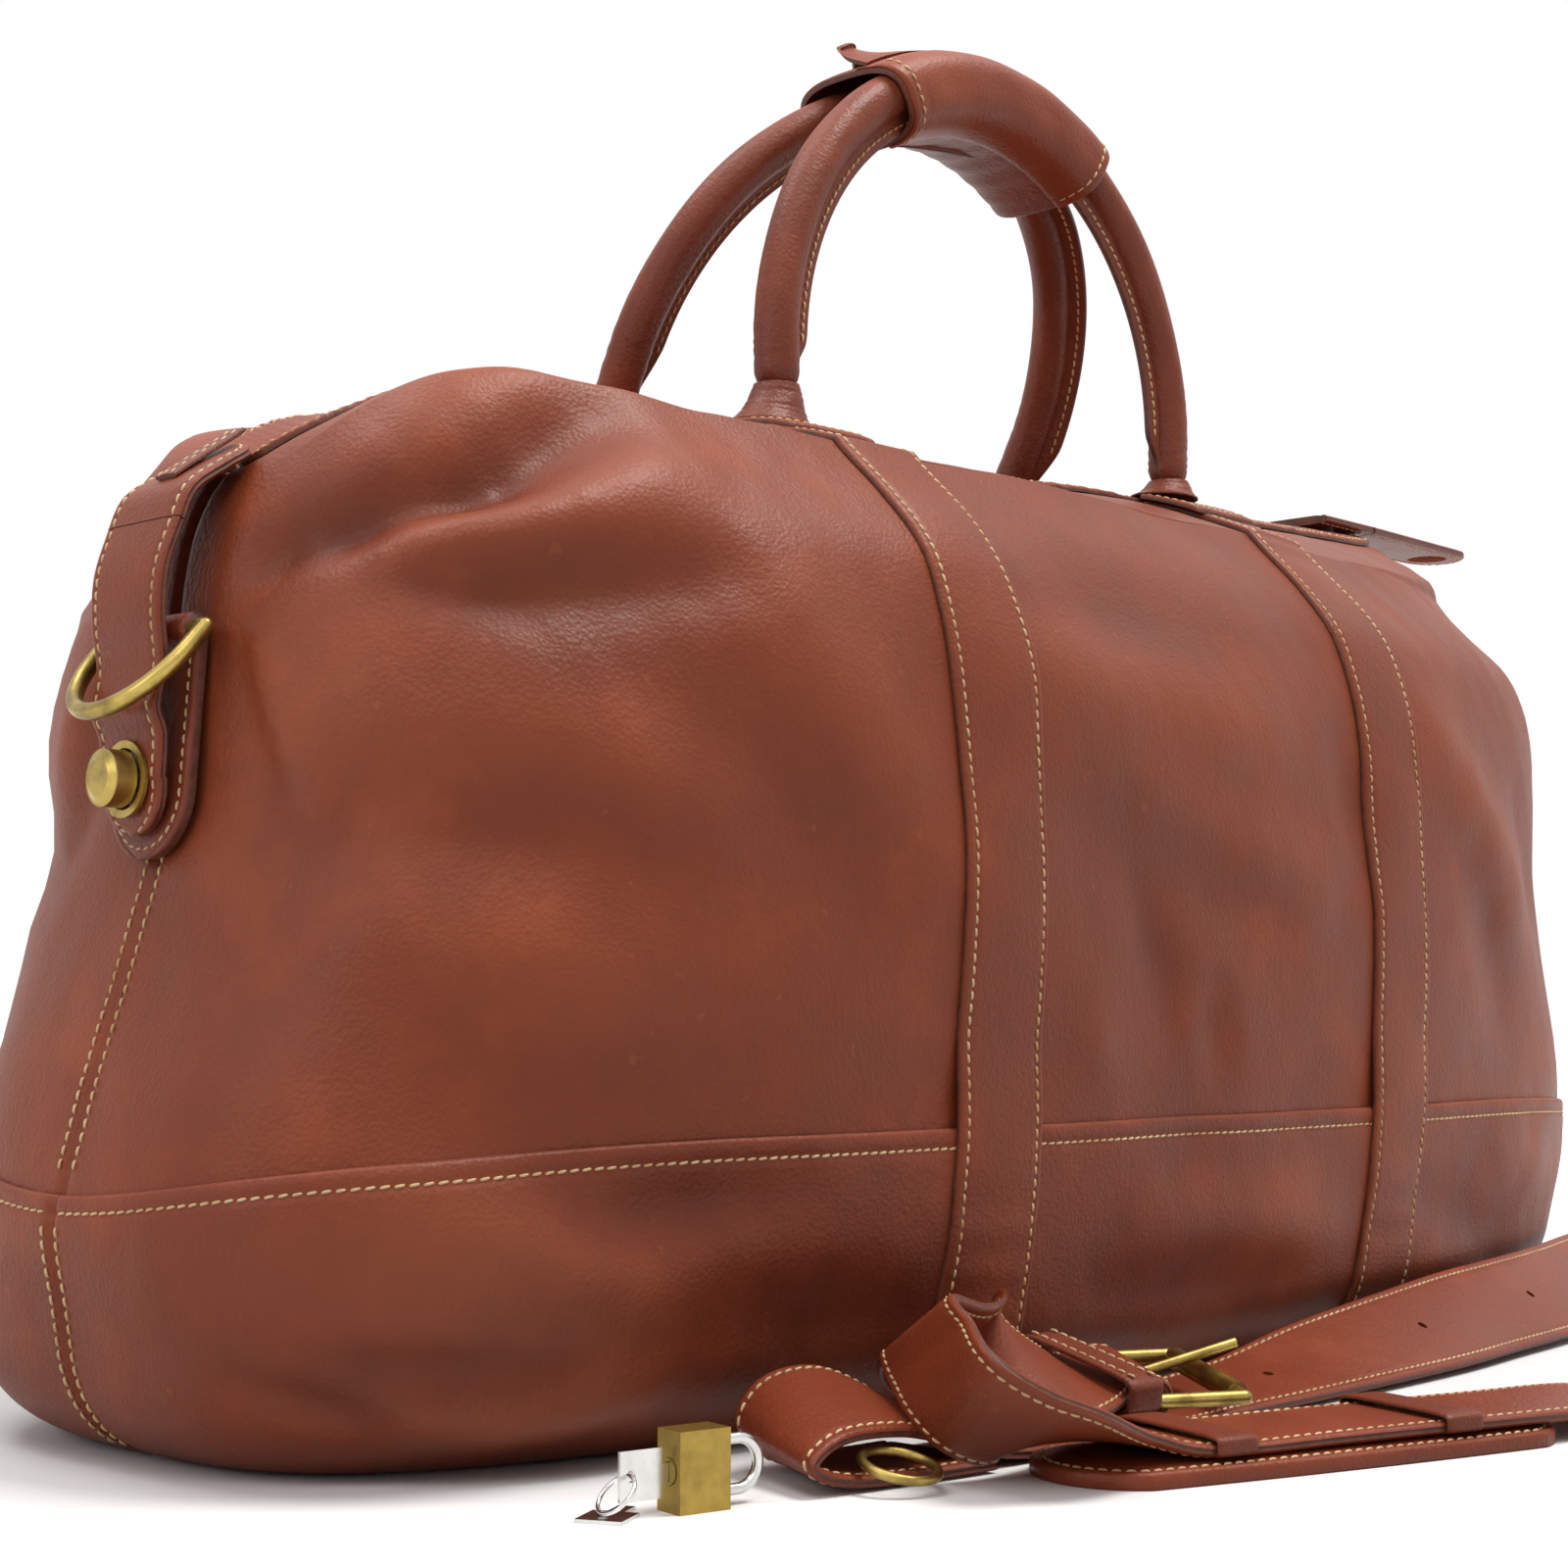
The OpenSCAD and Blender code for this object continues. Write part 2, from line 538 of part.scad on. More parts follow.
// Height of the middle of a strap that lies over the zip facings
function over_zip(x) = sewn + zip_at(x) + trim_t + 4 * layer_gap + strap_t / 2 + running_gap;
facing_rise = 5.4;
root_route = [[-zip_half + 10, over_zip(-zip_half + 10) + facing_rise], [-zip_half + 2,
    over_zip(-zip_half + 2) + facing_rise],
    [-zip_half - 5, over_zip(-zip_half) + 1.6], [-bend_x + 14, bend_z + 16], [-bend_x + 4, bend_z + 8.6],
    [-bend_x, bend_z + running_gap]];
module left_strap_root() {
    color(leather) strap_side(root_route, [for (p = root_route) strap_w], strap_t);
}
// The free part bulges out past the ring and comes back to the knob
free_mid = [-bend_x - 4.5, bend_z - 24];
face_mid = [-strap_face(0) - strap_t / 2, knob_z];
tip_r = strap_tip_w / 2;
tip_start = [face_mid[0] + 0.5, bend_z - strap_free + tip_r];
tip_angles = [0, 25, 45, 62, 78];
free_route = concat([[-bend_x, bend_z - running_gap], free_mid + [0.6, 12], free_mid, free_mid + [1.5, -12],
    face_mid + [-2.4, eyelet_r + 8], face_mid + [0, eyelet_r + 1], face_mid], [for (a = tip_angles)
        tip_start + [0.1 * tip_r * sin(a), -tip_r * sin(a)]]);
free_widths = concat(steps(strap_w, strap_tip_w, 6), [for (a = tip_angles) strap_tip_w * cos(a)]);
module left_end_strap() {
    color(leather) difference() {
        strap_side(free_route, free_widths, strap_t);
        translate([face_mid[0], 0, knob_z]) rotate([0, 90, 0]) cylinder(r = knob_r + 1, h = 20,
            center = true, $fn = 48);
    }
}
eyelet_t = 1;
module eyelet() {
    difference() {
        cylinder(r = eyelet_r, h = eyelet_t, $fn = 48);
        translate([0, 0, -1]) cylinder(r = knob_r + 0.5, h = eyelet_t + 2, $fn = 48);
    }
}
module left_eyelet() {
    color(brass) translate([face_mid[0] - strap_t / 2 - layer_gap, 0, knob_z]) rotate([0, -90, 0]) eyelet();
}
right_root_x = zip_half - 14;
fold_gap = 0.45;
right_hinge_x = zip_half + 10;
right_z = zip_at(zip_half) + 2 * sewn + 2 * layer_gap + running_gap + strap_t / 2;
module right_strap_root() {
    color(leather) translate([right_root_x - 12, -strap_w / 2, right_z - strap_t / 2])
        cube([right_hinge_x - fold_gap - right_root_x + 12, strap_w, strap_t]);
}
right_tip_x = right_hinge_x + strap_free + 8 - strap_tip_w / 2;
right_eye_x = right_tip_x - 4;
module right_end_strap() {
    start = right_hinge_x + fold_gap;
    color(leather) translate([0, 0, right_z - strap_t / 2]) linear_extrude(strap_t) difference() {
        union() {
            polygon([[start, -strap_w / 2], [start, strap_w / 2], [right_tip_x, tip_r], [right_tip_x,
                -tip_r]]);
            translate([right_tip_x, 0]) circle(r = tip_r, $fn = 48);
        }
        translate([right_eye_x, 0]) circle(r = knob_r + 1, $fn = 48);
    }
}
module right_eyelet() {
    color(brass) translate([right_eye_x, 0, right_z + strap_t / 2 + layer_gap]) eyelet();
}
on_root = [-1.9, 2.7];
tab_route = [for (i = [0:3]) root_route[i] + on_root];
module zip_end_tab() {
    color(leather_dark) strap_side(tab_route, [9, 9, 9, 8], 2);
}

// Shoulder strap, lying on the floor in front of the bag. Each station of a route is a pair of
// places, one on each edge of the strap, and the strap keeps its own width between them
function between(a, b, c, d, t) = 0.5 * (2 * b + (c - a) * t + (2 * a - 5 * b + 4 * c - d) * t * t
    + (3 * b - a - 3 * c + d) * t * t * t);
function smooth_route(p, k) = let (n = len(p) - 1) [for (i = [0:n - 1], j = [0:k - 1])
    between(p[max(0, i - 1)], p[i], p[i + 1], p[min(n, i + 2)], j / k), p[n]];
function mids(p) = [for (q = p) (q[0] + q[1]) / 2];
function acrosses(p) = [for (q = p) unit(q[0] - q[1])];
function dir_at(m, i) = unit(m[min(len(m) - 1, i + 1)] - m[max(0, i - 1)]);
module ribbon(p, w, t) {
    n = len(p) - 1;
    m = mids(p);
    wide = acrosses(p);
    thick = [for (i = [0:n]) unit(cross(dir_at(m, i), wide[i]))];
    shell([for (i = [0:n]) each [for (s = [1, -1]) m[i] + wide[i] * s * w / 2 - thick[i] * t / 2]],
        [for (i = [0:n]) each [for (s = [1, -1]) m[i] + wide[i] * s * w / 2 + thick[i] * t / 2]], n, 1);
}
// A round hole through the strap at station i
module hole_at(p, i) {
    m = mids(p);
    a = dir_at(m, i);
    w = acrosses(p)[i];
    c = unit(cross(a, w));
    multmatrix([[a[0], w[0], c[0], m[i][0]], [a[1], w[1], c[1], m[i][1]], [a[2], w[2], c[2], m[i][2]],
        [0, 0, 0, 1]])
        cylinder(r = hole_r, h = 4 * sling_t, center = true, $fn = 24);
}
// The holed strap starts folded back on itself at the left and ends leaning against the bag
holed_route = [[[-152, -124, 2], [-152, -161, 2]], [[-174, -121, 2], [-178, -158, 2]],
    [[-188, -119, 4.5], [-198, -155, 3]], [[-196, -118, 13], [-207, -153, 7]],
    [[-188, -118, 21], [-197, -153, 12]], [[-172, -118.5, 22.5], [-178, -155, 11.5]],
    [[-156, -120, 16], [-160, -157, 7.5]], [[-140, -121, 5.5], [-142, -159, 3]],
    [[-122, -122, 2.2], [-122, -160, 2]], [[-100, -123, 2], [-100, -161, 2]],
    [[-70, -123, 2], [-70, -161, 2]], [[-40, -121, 4.5], [-42, -159, 1.8]],
    [[-5, -123, 8], [-6, -159.5, 2.4]], [[31, -125, 14.5], [31, -159, 3]],
    [[80, -124.5, 20], [80, -157, 3]], [[122, -121, 23], [122, -152, 3]],
    [[165, -117, 24.5], [165, -147, 3]], [[208, -110.5, 25], [210, -139, 3]],
    [[250, -101.5, 26], [252, -129.5, 3]], [[284, -92, 26], [286, -121, 3]]];
holed_smooth = smooth_route(holed_route, 3);
hole_stations = [36, 42, 48, 54];
// The buckle strap wraps the bar of the buckle, turns over in a loop and runs back over the pad
buckle_at = [-59, -144, 11.4];
buckle_turn = -28;
buckle_rise = 7;
buckle_half = 12;
wrap_r = buckle_wire + running_gap + sling_t / 2;
bar_along = [cos(buckle_turn), sin(buckle_turn), 0];
bar_across = [-sin(buckle_turn) * cos(buckle_rise), cos(buckle_turn) * cos(buckle_rise), sin(buckle_rise)];
bar_mid = buckle_at - bar_along * buckle_half;
function around_bar(a) = [for (s = [1, -1])
    bar_mid + bar_across * s * sling_w / 2 + bar_along * wrap_r * cos(a)
    + cross(bar_along, bar_across) * wrap_r * sin(a)];
pad_at = [-79, -199, 0];
pad_turn = -17;
strap_on_pad = pad_t + running_gap + sling_t / 2;
pad_along = [cos(pad_turn), sin(pad_turn), 0];
pad_across = [-sin(pad_turn), cos(pad_turn), 0];
function on_pad(x) = [for (s = [-1, 1]) pad_at + pad_along * x + pad_across * s * sling_w / 2 + [0, 0,
    strap_on_pad]];
function past_bar(d) = [for (p = around_bar(90)) p - bar_along * d];
buckle_route = concat([for (a = [-100:38:90]) around_bar(a)], [for (d = [3, 7]) past_bar(d)],
    [[[-82, -121, 17.5], [-94, -157, 10]], [[-111, -131, 28], [-119, -157, 8]], [[-138, -146, 35], [-143,
        -122, 17]],
    [[-165, -159, 42], [-155.8, -128.2, 24]], [[-173, -170, 38], [-165, -140, 20]], [[-181, -181, 34],
        [-172, -151, 15]],
    [[-181, -189, 29], [-172, -160, 9]], [[-172, -194, 23], [-163, -165, 5]], [[-159.7, -198.7, 18],
        [-153, -167, 7.5]],
    on_pad(-58) + [[0, 0, 4], [0, 0, 0.8]], on_pad(-40), on_pad(0), on_pad(40), on_pad(74)],
    [[[24, -247, 6], [34, -211, 6]], [[52, -254, 2], [56, -217, 2]], [[96, -258, 2], [96, -220, 2]],
    [[128, -257, 2], [126, -219, 2]], [[142, -256.5, 4.5], [140, -218.5, 4.5]], [[146, -256, 9], [144,
        -218, 9]],
    [[140, -255.5, 13.5], [138, -217.5, 13.5]], [[126, -255.5, 12], [124, -217.5, 12]], [[108, -256,
        6.6], [107, -218, 6.6]]]);
buckle_smooth = smooth_route(buckle_route, 3);
module at_buckle(x) {
    translate(buckle_at) rotate([0, 0, buckle_turn]) rotate([buckle_rise, 0, 0]) translate([x, 0, 0])
        children();
}
module across(r, h) { rotate([90, 0, 0]) cylinder(r = r, h = h, center = true, $fn = 32); }
prong_w = 4;
module sling_holed_end() {
    color(leather) difference() {
        ribbon(holed_smooth, sling_w, sling_t);
        for (i = hole_stations) hole_at(holed_smooth, i);
    }
}
module sling_buckle_end() {
    color(leather) difference() {
        ribbon(buckle_smooth, sling_w, sling_t);
        at_buckle(-buckle_half + 2) cube([2 * wrap_r + 8, prong_w + 2, 4 * wrap_r], center = true);
    }
}
end_ring_r = 9;
end_ring_wire = 1.2;
module end_ring() {
    rotate_extrude($fn = 64) translate([end_ring_r, 0]) circle(r = end_ring_wire, $fn = 24);
}
module sling_ring() {
    color(brass) translate([-186, -160, 5.9]) rotate([14, 0, 0]) end_ring();
}
module sling_far_ring() {
    color(brass) translate([131, -259, 6.6]) rotate([14, 0, 0]) end_ring();
}
keeper_w = 12;
// A loop of leather around the strap, lying along X, with room for the strap inside
module leather_loop(room) {
    difference() {
        cube([keeper_w, sling_w + 5, room + 2.4], center = true);
        cube([keeper_w + 2, sling_w + 2, room], center = true);
    }
}
module sling_keeper() {
    color(leather_dark) translate([-87, -139.5, 15.1]) rotate([0, 0, -7]) rotate([12, 0, 0])
        leather_loop(sling_t + 5);
}
module buckle_frame() {
    color(brass) at_buckle(0) {
        for (s = [-1, 1]) {
            translate([0, s * (sling_w / 2 + 3), 0]) rotate([0, 90, 0])
                cylinder(r = buckle_wire, h = 2 * buckle_half, center = true, $fn = 32);
            translate([s * buckle_half, 0, 0]) across(buckle_wire, sling_w + 6);
            for (t = [-1, 1]) translate([s * buckle_half, t * (sling_w / 2 + 3), 0])
                sphere(r = buckle_wire, $fn = 32);
        }
    }
}
module buckle_roller() {
    color(brass) at_buckle(buckle_half) difference() {
        across(buckle_wire + 1, sling_w - 2);
        across(buckle_wire + 0.08, sling_w + 2);
    }
}
prong_r = 1.4;
prong_len = 31;
module buckle_prong() {
    color(brass) at_buckle(-buckle_half) difference() {
        union() {
            across(buckle_wire + 1.2, prong_w);
            rotate([0, -14, 0]) translate([buckle_wire + 0.6, 0, 0.6]) rotate([0, 90, 0])
                cylinder(r = prong_r, h = prong_len, $fn = 24);
        }
        across(buckle_wire + 0.08, prong_w + 2);
    }
}
keeper_x = 36;
module shoulder_pad() {
    color(leather) translate(pad_at) rotate([0, 0, pad_turn]) linear_extrude(pad_t) {
        square([pad_len - pad_w, pad_w], center = true);
        for (s = [-1, 1]) translate([s * (pad_len - pad_w) / 2, 0]) circle(r = pad_w / 2, $fn = 64);
    }
}
module pad_keepers() {
    color(leather_dark) translate(pad_at) rotate([0, 0, pad_turn]) for (s = [-1, 1])
        translate([s * keeper_x, 0, pad_t + layer_gap]) difference() {
            translate([-keeper_w / 2, -sling_w / 2 - 2, 0]) cube([keeper_w, sling_w + 4, sling_t + 2.4]);
            translate([-keeper_w, -sling_w / 2 - 0.5, -1]) cube([2 * keeper_w, sling_w + 1, sling_t + 1.8]);
        }
}

// Padlock on its side with a key in it, and the other key on the same ring
lock_at = [-234, -141.5, 0];
lock_turn = -10;
module at_lock() { translate(lock_at + [0, 0, lock_w / 2]) rotate([0, 0, lock_turn]) children(); }
module padlock_body() {
    color(brass) at_lock() difference() {
        cube([lock_h, lock_t, lock_w], center = true);
        for (s = [-1, 1]) translate([lock_h / 2 - 9, 0, s * shackle_half]) rotate([0, 90, 0])
            cylinder(r = shackle_wire + 0.1, h = 20, $fn = 32);
        rotate([0, -90, 0]) cylinder(r = 3.1, h = lock_h, $fn = 32);
    }
}
shackle_leg = 5;
module padlock_shackle() {
    color(steel) at_lock() translate([lock_h / 2, 0, 0]) {
        translate([-3, 0, shackle_half]) rotate([0, 90, 0]) cylinder(r = shackle_wire,
            h = shackle_leg + 3, $fn = 32);
        translate([-8, 0, -shackle_half]) rotate([0, 90, 0]) cylinder(r = shackle_wire,
            h = shackle_leg + 8, $fn = 32);
        translate([shackle_leg, 0, 0]) rotate([90, 0, 0]) rotate([0, 0, -90]) rotate_extrude(angle = 180,
            $fn = 64)
            translate([shackle_half, 0]) circle(r = shackle_wire, $fn = 32);
    }
}
module padlock_plug() {
    color(brass) at_lock() rotate([0, -90, 0]) difference() {
        translate([0, 0, 0.3]) cylinder(r = 3, h = lock_h / 2, $fn = 32);
        translate([-2.2, -0.5, lock_h / 2 - 5]) cube([4.4, 1, 8]);
    }
}
key_t = 0.8;
key_hole = 10.2;
key_ring_r = 5;
key_ring_drop = 46;
module key() {
    difference() {
        union() {
            translate([-2, -key_t / 2, -4.6]) cube([4, key_t, 7]);
            translate([-5.5, -key_t / 2, 2]) cube([11, key_t, 11]);
        }
        translate([0, 0, key_hole]) rotate([90, 0, 0]) cylinder(r = 1.3, h = 4, center = true, $fn = 24);
    }
}
module padlock_key() {
    color(steel) at_lock() translate([-lock_h / 2, 0, 0]) rotate([0, -90, 0]) key();
}
module key_ring() {
    color(steel) at_lock() translate([-lock_h / 2 - key_hole, 0, 0]) rotate([0, -key_ring_drop, 0])
        translate([-key_ring_r, 0, 0])
        rotate_extrude($fn = 48) translate([key_ring_r, 0]) circle(r = 0.5, $fn = 16);
}
module spare_key() {
    color(steel) translate([lock_at[0] - 14.3, lock_at[1] + 8.7, key_t / 2 + 0.05]) rotate([0, 0, -64])
        rotate([90, 0, 0]) key();
}

front_panel();
back_panel();
base_front();
base_back();
base_board();
lining();
front_left_band();
front_right_band();
back_left_band();
back_right_band();
front_zip_facing();
back_zip_facing();
front_zip_tape();
back_zip_tape();
front_zip_teeth();
back_zip_teeth();
zip_stops();
zip_slider();
zip_puller();
zip_end_tab();
handle_feet();
front_handle();
front_handle_core();
back_handle();
back_handle_core();
handle_wrap();
wrap_flap();
left_strap_root();
left_end_strap();
left_eyelet();
left_tab();
left_d_ring();
left_knob_post();
left_knob();
right_strap_root();
right_end_strap();
right_eyelet();
right_tab();
right_d_ring();
right_knob_post();
right_knob();
sling_buckle_end();
sling_holed_end();
sling_ring();
sling_far_ring();
sling_keeper();
buckle_frame();
buckle_roller();
buckle_prong();
shoulder_pad();
pad_keepers();
padlock_body();
padlock_shackle();
padlock_plug();
padlock_key();
key_ring();
spare_key();
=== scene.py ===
# %% [markdown]
# # Leather travel bag with rolled handles
# The solids of the bag come from the pack, already in place. The body, the handles and all straps
# of the real bag are soft leather, so they get new meshes here, built on the same surface and
# routes as the solids. The metal pieces keep their solids. Lengths are millimetres until a mesh
# is made, because a maker thinks in them, and MM turns them into metres.

import math

import bpy
import numpy as np
from mathutils import Matrix, Vector


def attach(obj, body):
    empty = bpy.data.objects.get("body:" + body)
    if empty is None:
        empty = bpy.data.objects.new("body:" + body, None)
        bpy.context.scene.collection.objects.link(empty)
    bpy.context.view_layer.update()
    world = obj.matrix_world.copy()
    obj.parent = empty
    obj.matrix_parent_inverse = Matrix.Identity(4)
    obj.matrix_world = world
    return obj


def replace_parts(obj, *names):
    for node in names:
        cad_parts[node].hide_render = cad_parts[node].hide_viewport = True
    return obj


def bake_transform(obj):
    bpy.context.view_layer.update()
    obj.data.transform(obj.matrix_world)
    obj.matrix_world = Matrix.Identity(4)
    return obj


MM = 0.001
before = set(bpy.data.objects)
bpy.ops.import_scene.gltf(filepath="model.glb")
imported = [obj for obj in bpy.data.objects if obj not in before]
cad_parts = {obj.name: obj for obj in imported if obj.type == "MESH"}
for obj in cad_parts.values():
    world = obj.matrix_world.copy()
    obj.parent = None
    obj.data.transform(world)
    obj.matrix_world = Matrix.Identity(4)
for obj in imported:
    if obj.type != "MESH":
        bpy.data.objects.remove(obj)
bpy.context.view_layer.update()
rng = np.random.default_rng(7)
print("solids loaded:", len(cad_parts))

# %% [markdown]
# ## Camera, floor and light
# The camera stands where the photographer stood, low and off the left front corner. It could be
# aimed with a constraint, but its yaw, pitch and roll were fitted to the bag's edges, so its axes
# are worked out and set as a matrix.

# %% Camera
CAMERA_AT = (-647.5, -562.0, 113.0)
CAMERA_YAW, CAMERA_PITCH, CAMERA_ROLL = 46.4, 4.65, 0.2
CAMERA_LENS, CAMERA_FILM = 60.1, 36


def camera_axes():
    yaw, pitch, roll = (math.radians(a) for a in (CAMERA_YAW, CAMERA_PITCH, CAMERA_ROLL))
    ahead = Vector((math.sin(yaw) * math.cos(pitch), math.cos(yaw) * math.cos(pitch), math.sin(pitch)))
    level = Vector((math.cos(yaw), -math.sin(yaw), 0))
    above = level.cross(ahead)
    right = math.cos(roll) * level + math.sin(roll) * above
    up = -math.sin(roll) * level + math.cos(roll) * above
    return right, up, -ahead


camera = bpy.data.objects.new("camera", bpy.data.cameras.new("camera"))
bpy.context.collection.objects.link(camera)
camera.data.sensor_width = CAMERA_FILM
camera.data.lens = CAMERA_LENS
camera.data.clip_start = 0.05
camera.matrix_world = Matrix.Translation(Vector(CAMERA_AT) * MM) @ Matrix(camera_axes()).transposed().to_4x4()
bpy.context.scene.camera = camera
bpy.context.scene.view_settings.view_transform = "Standard"
print("camera at", [round(c, 3) for c in camera.location])

# %% [markdown]
# Every finish below is a sum of patterns. The nodes could be placed one by one in the shader
# editor. Here a small class wraps one socket, so that sums and products read as arithmetic, and
# one function adds every other node.

# %% Wires between nodes
def plug(tree, value, entry):
    """Links a wire or a socket to an entry, or sets the entry's own value."""
    if isinstance(value, Wire):
        value = value.socket
    if isinstance(value, bpy.types.NodeSocket):
        tree.links.new(value, entry)
    elif isinstance(value, tuple) and entry.type == "RGBA":
        entry.default_value = (*value, 1.0)
    else:
        entry.default_value = value


def add_node(tree, kind, settings, sockets):
    """Adds a node, first its settings and then the values or links of its sockets."""
    node = tree.nodes.new(kind)
    for key, value in settings.items():
        setattr(node, key, value)
    for key, value in sockets.items():
        plug(tree, value, node.inputs[key])
    return node


class Wire:
    def __init__(self, tree, socket):
        self.tree, self.socket = tree, socket

    def onward(self, kind, settings, sockets, out=0):
        return Wire(self.tree, add_node(self.tree, kind, settings, sockets).outputs[out])

    def math(self, operation, *values):
        return self.onward("ShaderNodeMath", {"operation": operation}, dict(enumerate(values)))

    def __add__(self, other):
        return self.math("ADD", self, other)

    def __radd__(self, other):
        return self.math("ADD", other, self)

    def __sub__(self, other):
        return self.math("SUBTRACT", self, other)

    def __rsub__(self, other):
        return self.math("SUBTRACT", other, self)

    def __mul__(self, other):
        return self.math("MULTIPLY", self, other)

    def __rmul__(self, other):
        return self.math("MULTIPLY", other, self)

    def size(self):
        return self.math("ABSOLUTE", self)

    def spread(self, low, high, out_low=0.0, out_high=1.0):
        """Stretches the values between low and high to those between out_low and out_high."""
        ends = {"From Min": low, "From Max": high, "To Min": out_low, "To Max": out_high}
        return self.onward("ShaderNodeMapRange", {}, {"Value": self, **ends})

    def mix(self, first, second):
        """Goes from the first colour at 0 to the second at 1."""
        return self.onward("ShaderNodeMix", {"data_type": "RGBA"}, {0: self, 6: first, 7: second}, 2)


def tone(red, green, blue):
    """Screen colour 0 to 255 as the linear colour of a shader."""
    parts = [c / 255 for c in (red, green, blue)]
    return tuple(c / 12.92 if c < 0.04045 else ((c + 0.055) / 1.055) ** 2.4 for c in parts)


print("a middle screen grey is", round(tone(128, 128, 128)[0], 3), "in a shader")

# %% [markdown]
# The photo was taken on white, in soft light from above and the left. A white world alone would
# light the bag from all sides and flatten the leather, so the world shows white but lights
# weakly, and four soft lamps shape the bag.

# %% Floor, world and lamps
FLOOR_SIZE = 12.0
# Strength of the world as a light; where it is seen directly it is white
FILL = 0.3


def lamp(name, at, aim, size, power, tint=(1, 1, 1)):
    light = bpy.data.lights.new(name, "AREA")
    light.shape = "DISK"
    light.size = size
    light.energy = power
    light.color = tint
    obj = bpy.data.objects.new(name, light)
    obj.location = at
    obj.rotation_euler = (Vector(aim) - Vector(at)).to_track_quat("-Z", "Y").to_euler()
    bpy.context.collection.objects.link(obj)
    return obj


def seen_directly(tree):
    """1 for rays that show a surface or the world itself, 0 for rays that only light it."""
    path = add_node(tree, "ShaderNodeLightPath", {}, {})
    total = Wire(tree, path.outputs["Is Camera Ray"])
    for kind in ("Is Glossy Ray", "Is Transmission Ray"):
        settings = {"operation": "ADD", "use_clamp": True}
        total = total.onward("ShaderNodeMath", settings, {0: total, 1: path.outputs[kind]})
    return total


bpy.ops.mesh.primitive_plane_add(size=FLOOR_SIZE)
floor = bpy.context.object
floor.name = "floor"
world = bpy.data.worlds.new("studio")
world.use_nodes = True
sky = world.node_tree.nodes["Background"]
sky.inputs[0].default_value = (1, 1, 1, 1)
strength = seen_directly(world.node_tree).spread(0.0, 1.0, FILL, 1.0)
plug(world.node_tree, strength, sky.inputs[1])
bpy.context.scene.world = world
lights = [
    lamp("high window", (0.5, -0.7, 2.35), (0, 0, 0.15), 1.1, 47, (1.0, 0.985, 0.96)),
    lamp("left window", (-1.2, -0.9, 1.7), (-0.1, 0, 0.15), 1.1, 8),
    lamp("top", (-0.7, 0.6, 2.3), (-0.1, 0, 0.1), 1.1, 18),
    lamp("side", (-2.0, 0.1, 1.0), (-0.2, 0, 0.15), 1.0, 6),
]
print("floor and", len(lights), "lights")

# %% [markdown]
# ## Materials
# Paint starts a material and gives it noise in the piece's own coordinates, so that no picture
# and no unwrapping is needed. Closing it joins colour, roughness and a bump to one shader.

# %% Paint
class Paint:
    def __init__(self, name):
        self.material = bpy.data.materials.new(name)
        self.material.use_nodes = True
        self.tree = self.material.node_tree
        self.shader = self.tree.nodes["Principled BSDF"]
        self.place = self.add("ShaderNodeTexCoord", {}, {}, "Object")

    def add(self, kind, settings, sockets, out=0):
        """Adds a node and gives one of its outputs as a wire."""
        return Wire(self.tree, add_node(self.tree, kind, settings, sockets).outputs[out])

    def noise(self, scale, detail=3.0, rough=0.5, along=(1, 1, 1)):
        place = self.add("ShaderNodeMapping", {}, {"Vector": self.place, "Scale": along})
        sockets = {"Vector": place, "Scale": scale, "Detail": detail, "Roughness": rough}
        return self.add("ShaderNodeTexNoise", {}, sockets, "Fac")

    def cells(self, scale):
        sockets = {"Vector": self.place, "Scale": scale}
        return self.add("ShaderNodeTexVoronoi", {}, sockets, "Distance")

    def painted(self, layer):
        return self.add("ShaderNodeAttribute", {"attribute_name": layer}, {}, "Fac")

    def close(self, colour, roughness, metallic=0.0, height=None, depth=0.0002, strength=1.0):
        """Joins the wires to the shader, the height through a bump, and gives the material."""
        entries = {"Base Color": colour, "Roughness": roughness, "Metallic": metallic}
        if height is not None:
            sockets = {"Height": height, "Distance": depth, "Strength": strength}
            entries["Normal"] = self.add("ShaderNodeBump", {}, sockets)
        for key, value in entries.items():
            plug(self.tree, value, self.shader.inputs[key])
        return self.material


print("paint is ready to start materials")

# %% [markdown]
# The leather of the real bag is mottled, and paler in small scuffs where it is worn. A flat
# colour would look like plastic, so clouds and blots of noise carry the mottling, and pebble
# grain with fine creases gives the bump. The layer named low is painted on meshes by the folds
# below and tells where the valleys are. It paints shade into the valleys and a highlight onto the
# ridges. Scales count per metre.

# %% Four leathers
CLOUD, BLOT, SCUFF, PEBBLE, FIBRE, CREASE = 6.0, 34.0, 190.0, 820.0, 240.0, 46.0
LEATHER_SHINE, LEATHER_DEPTH, LEATHER_BUMP = 0.28, 0.0007, 0.38


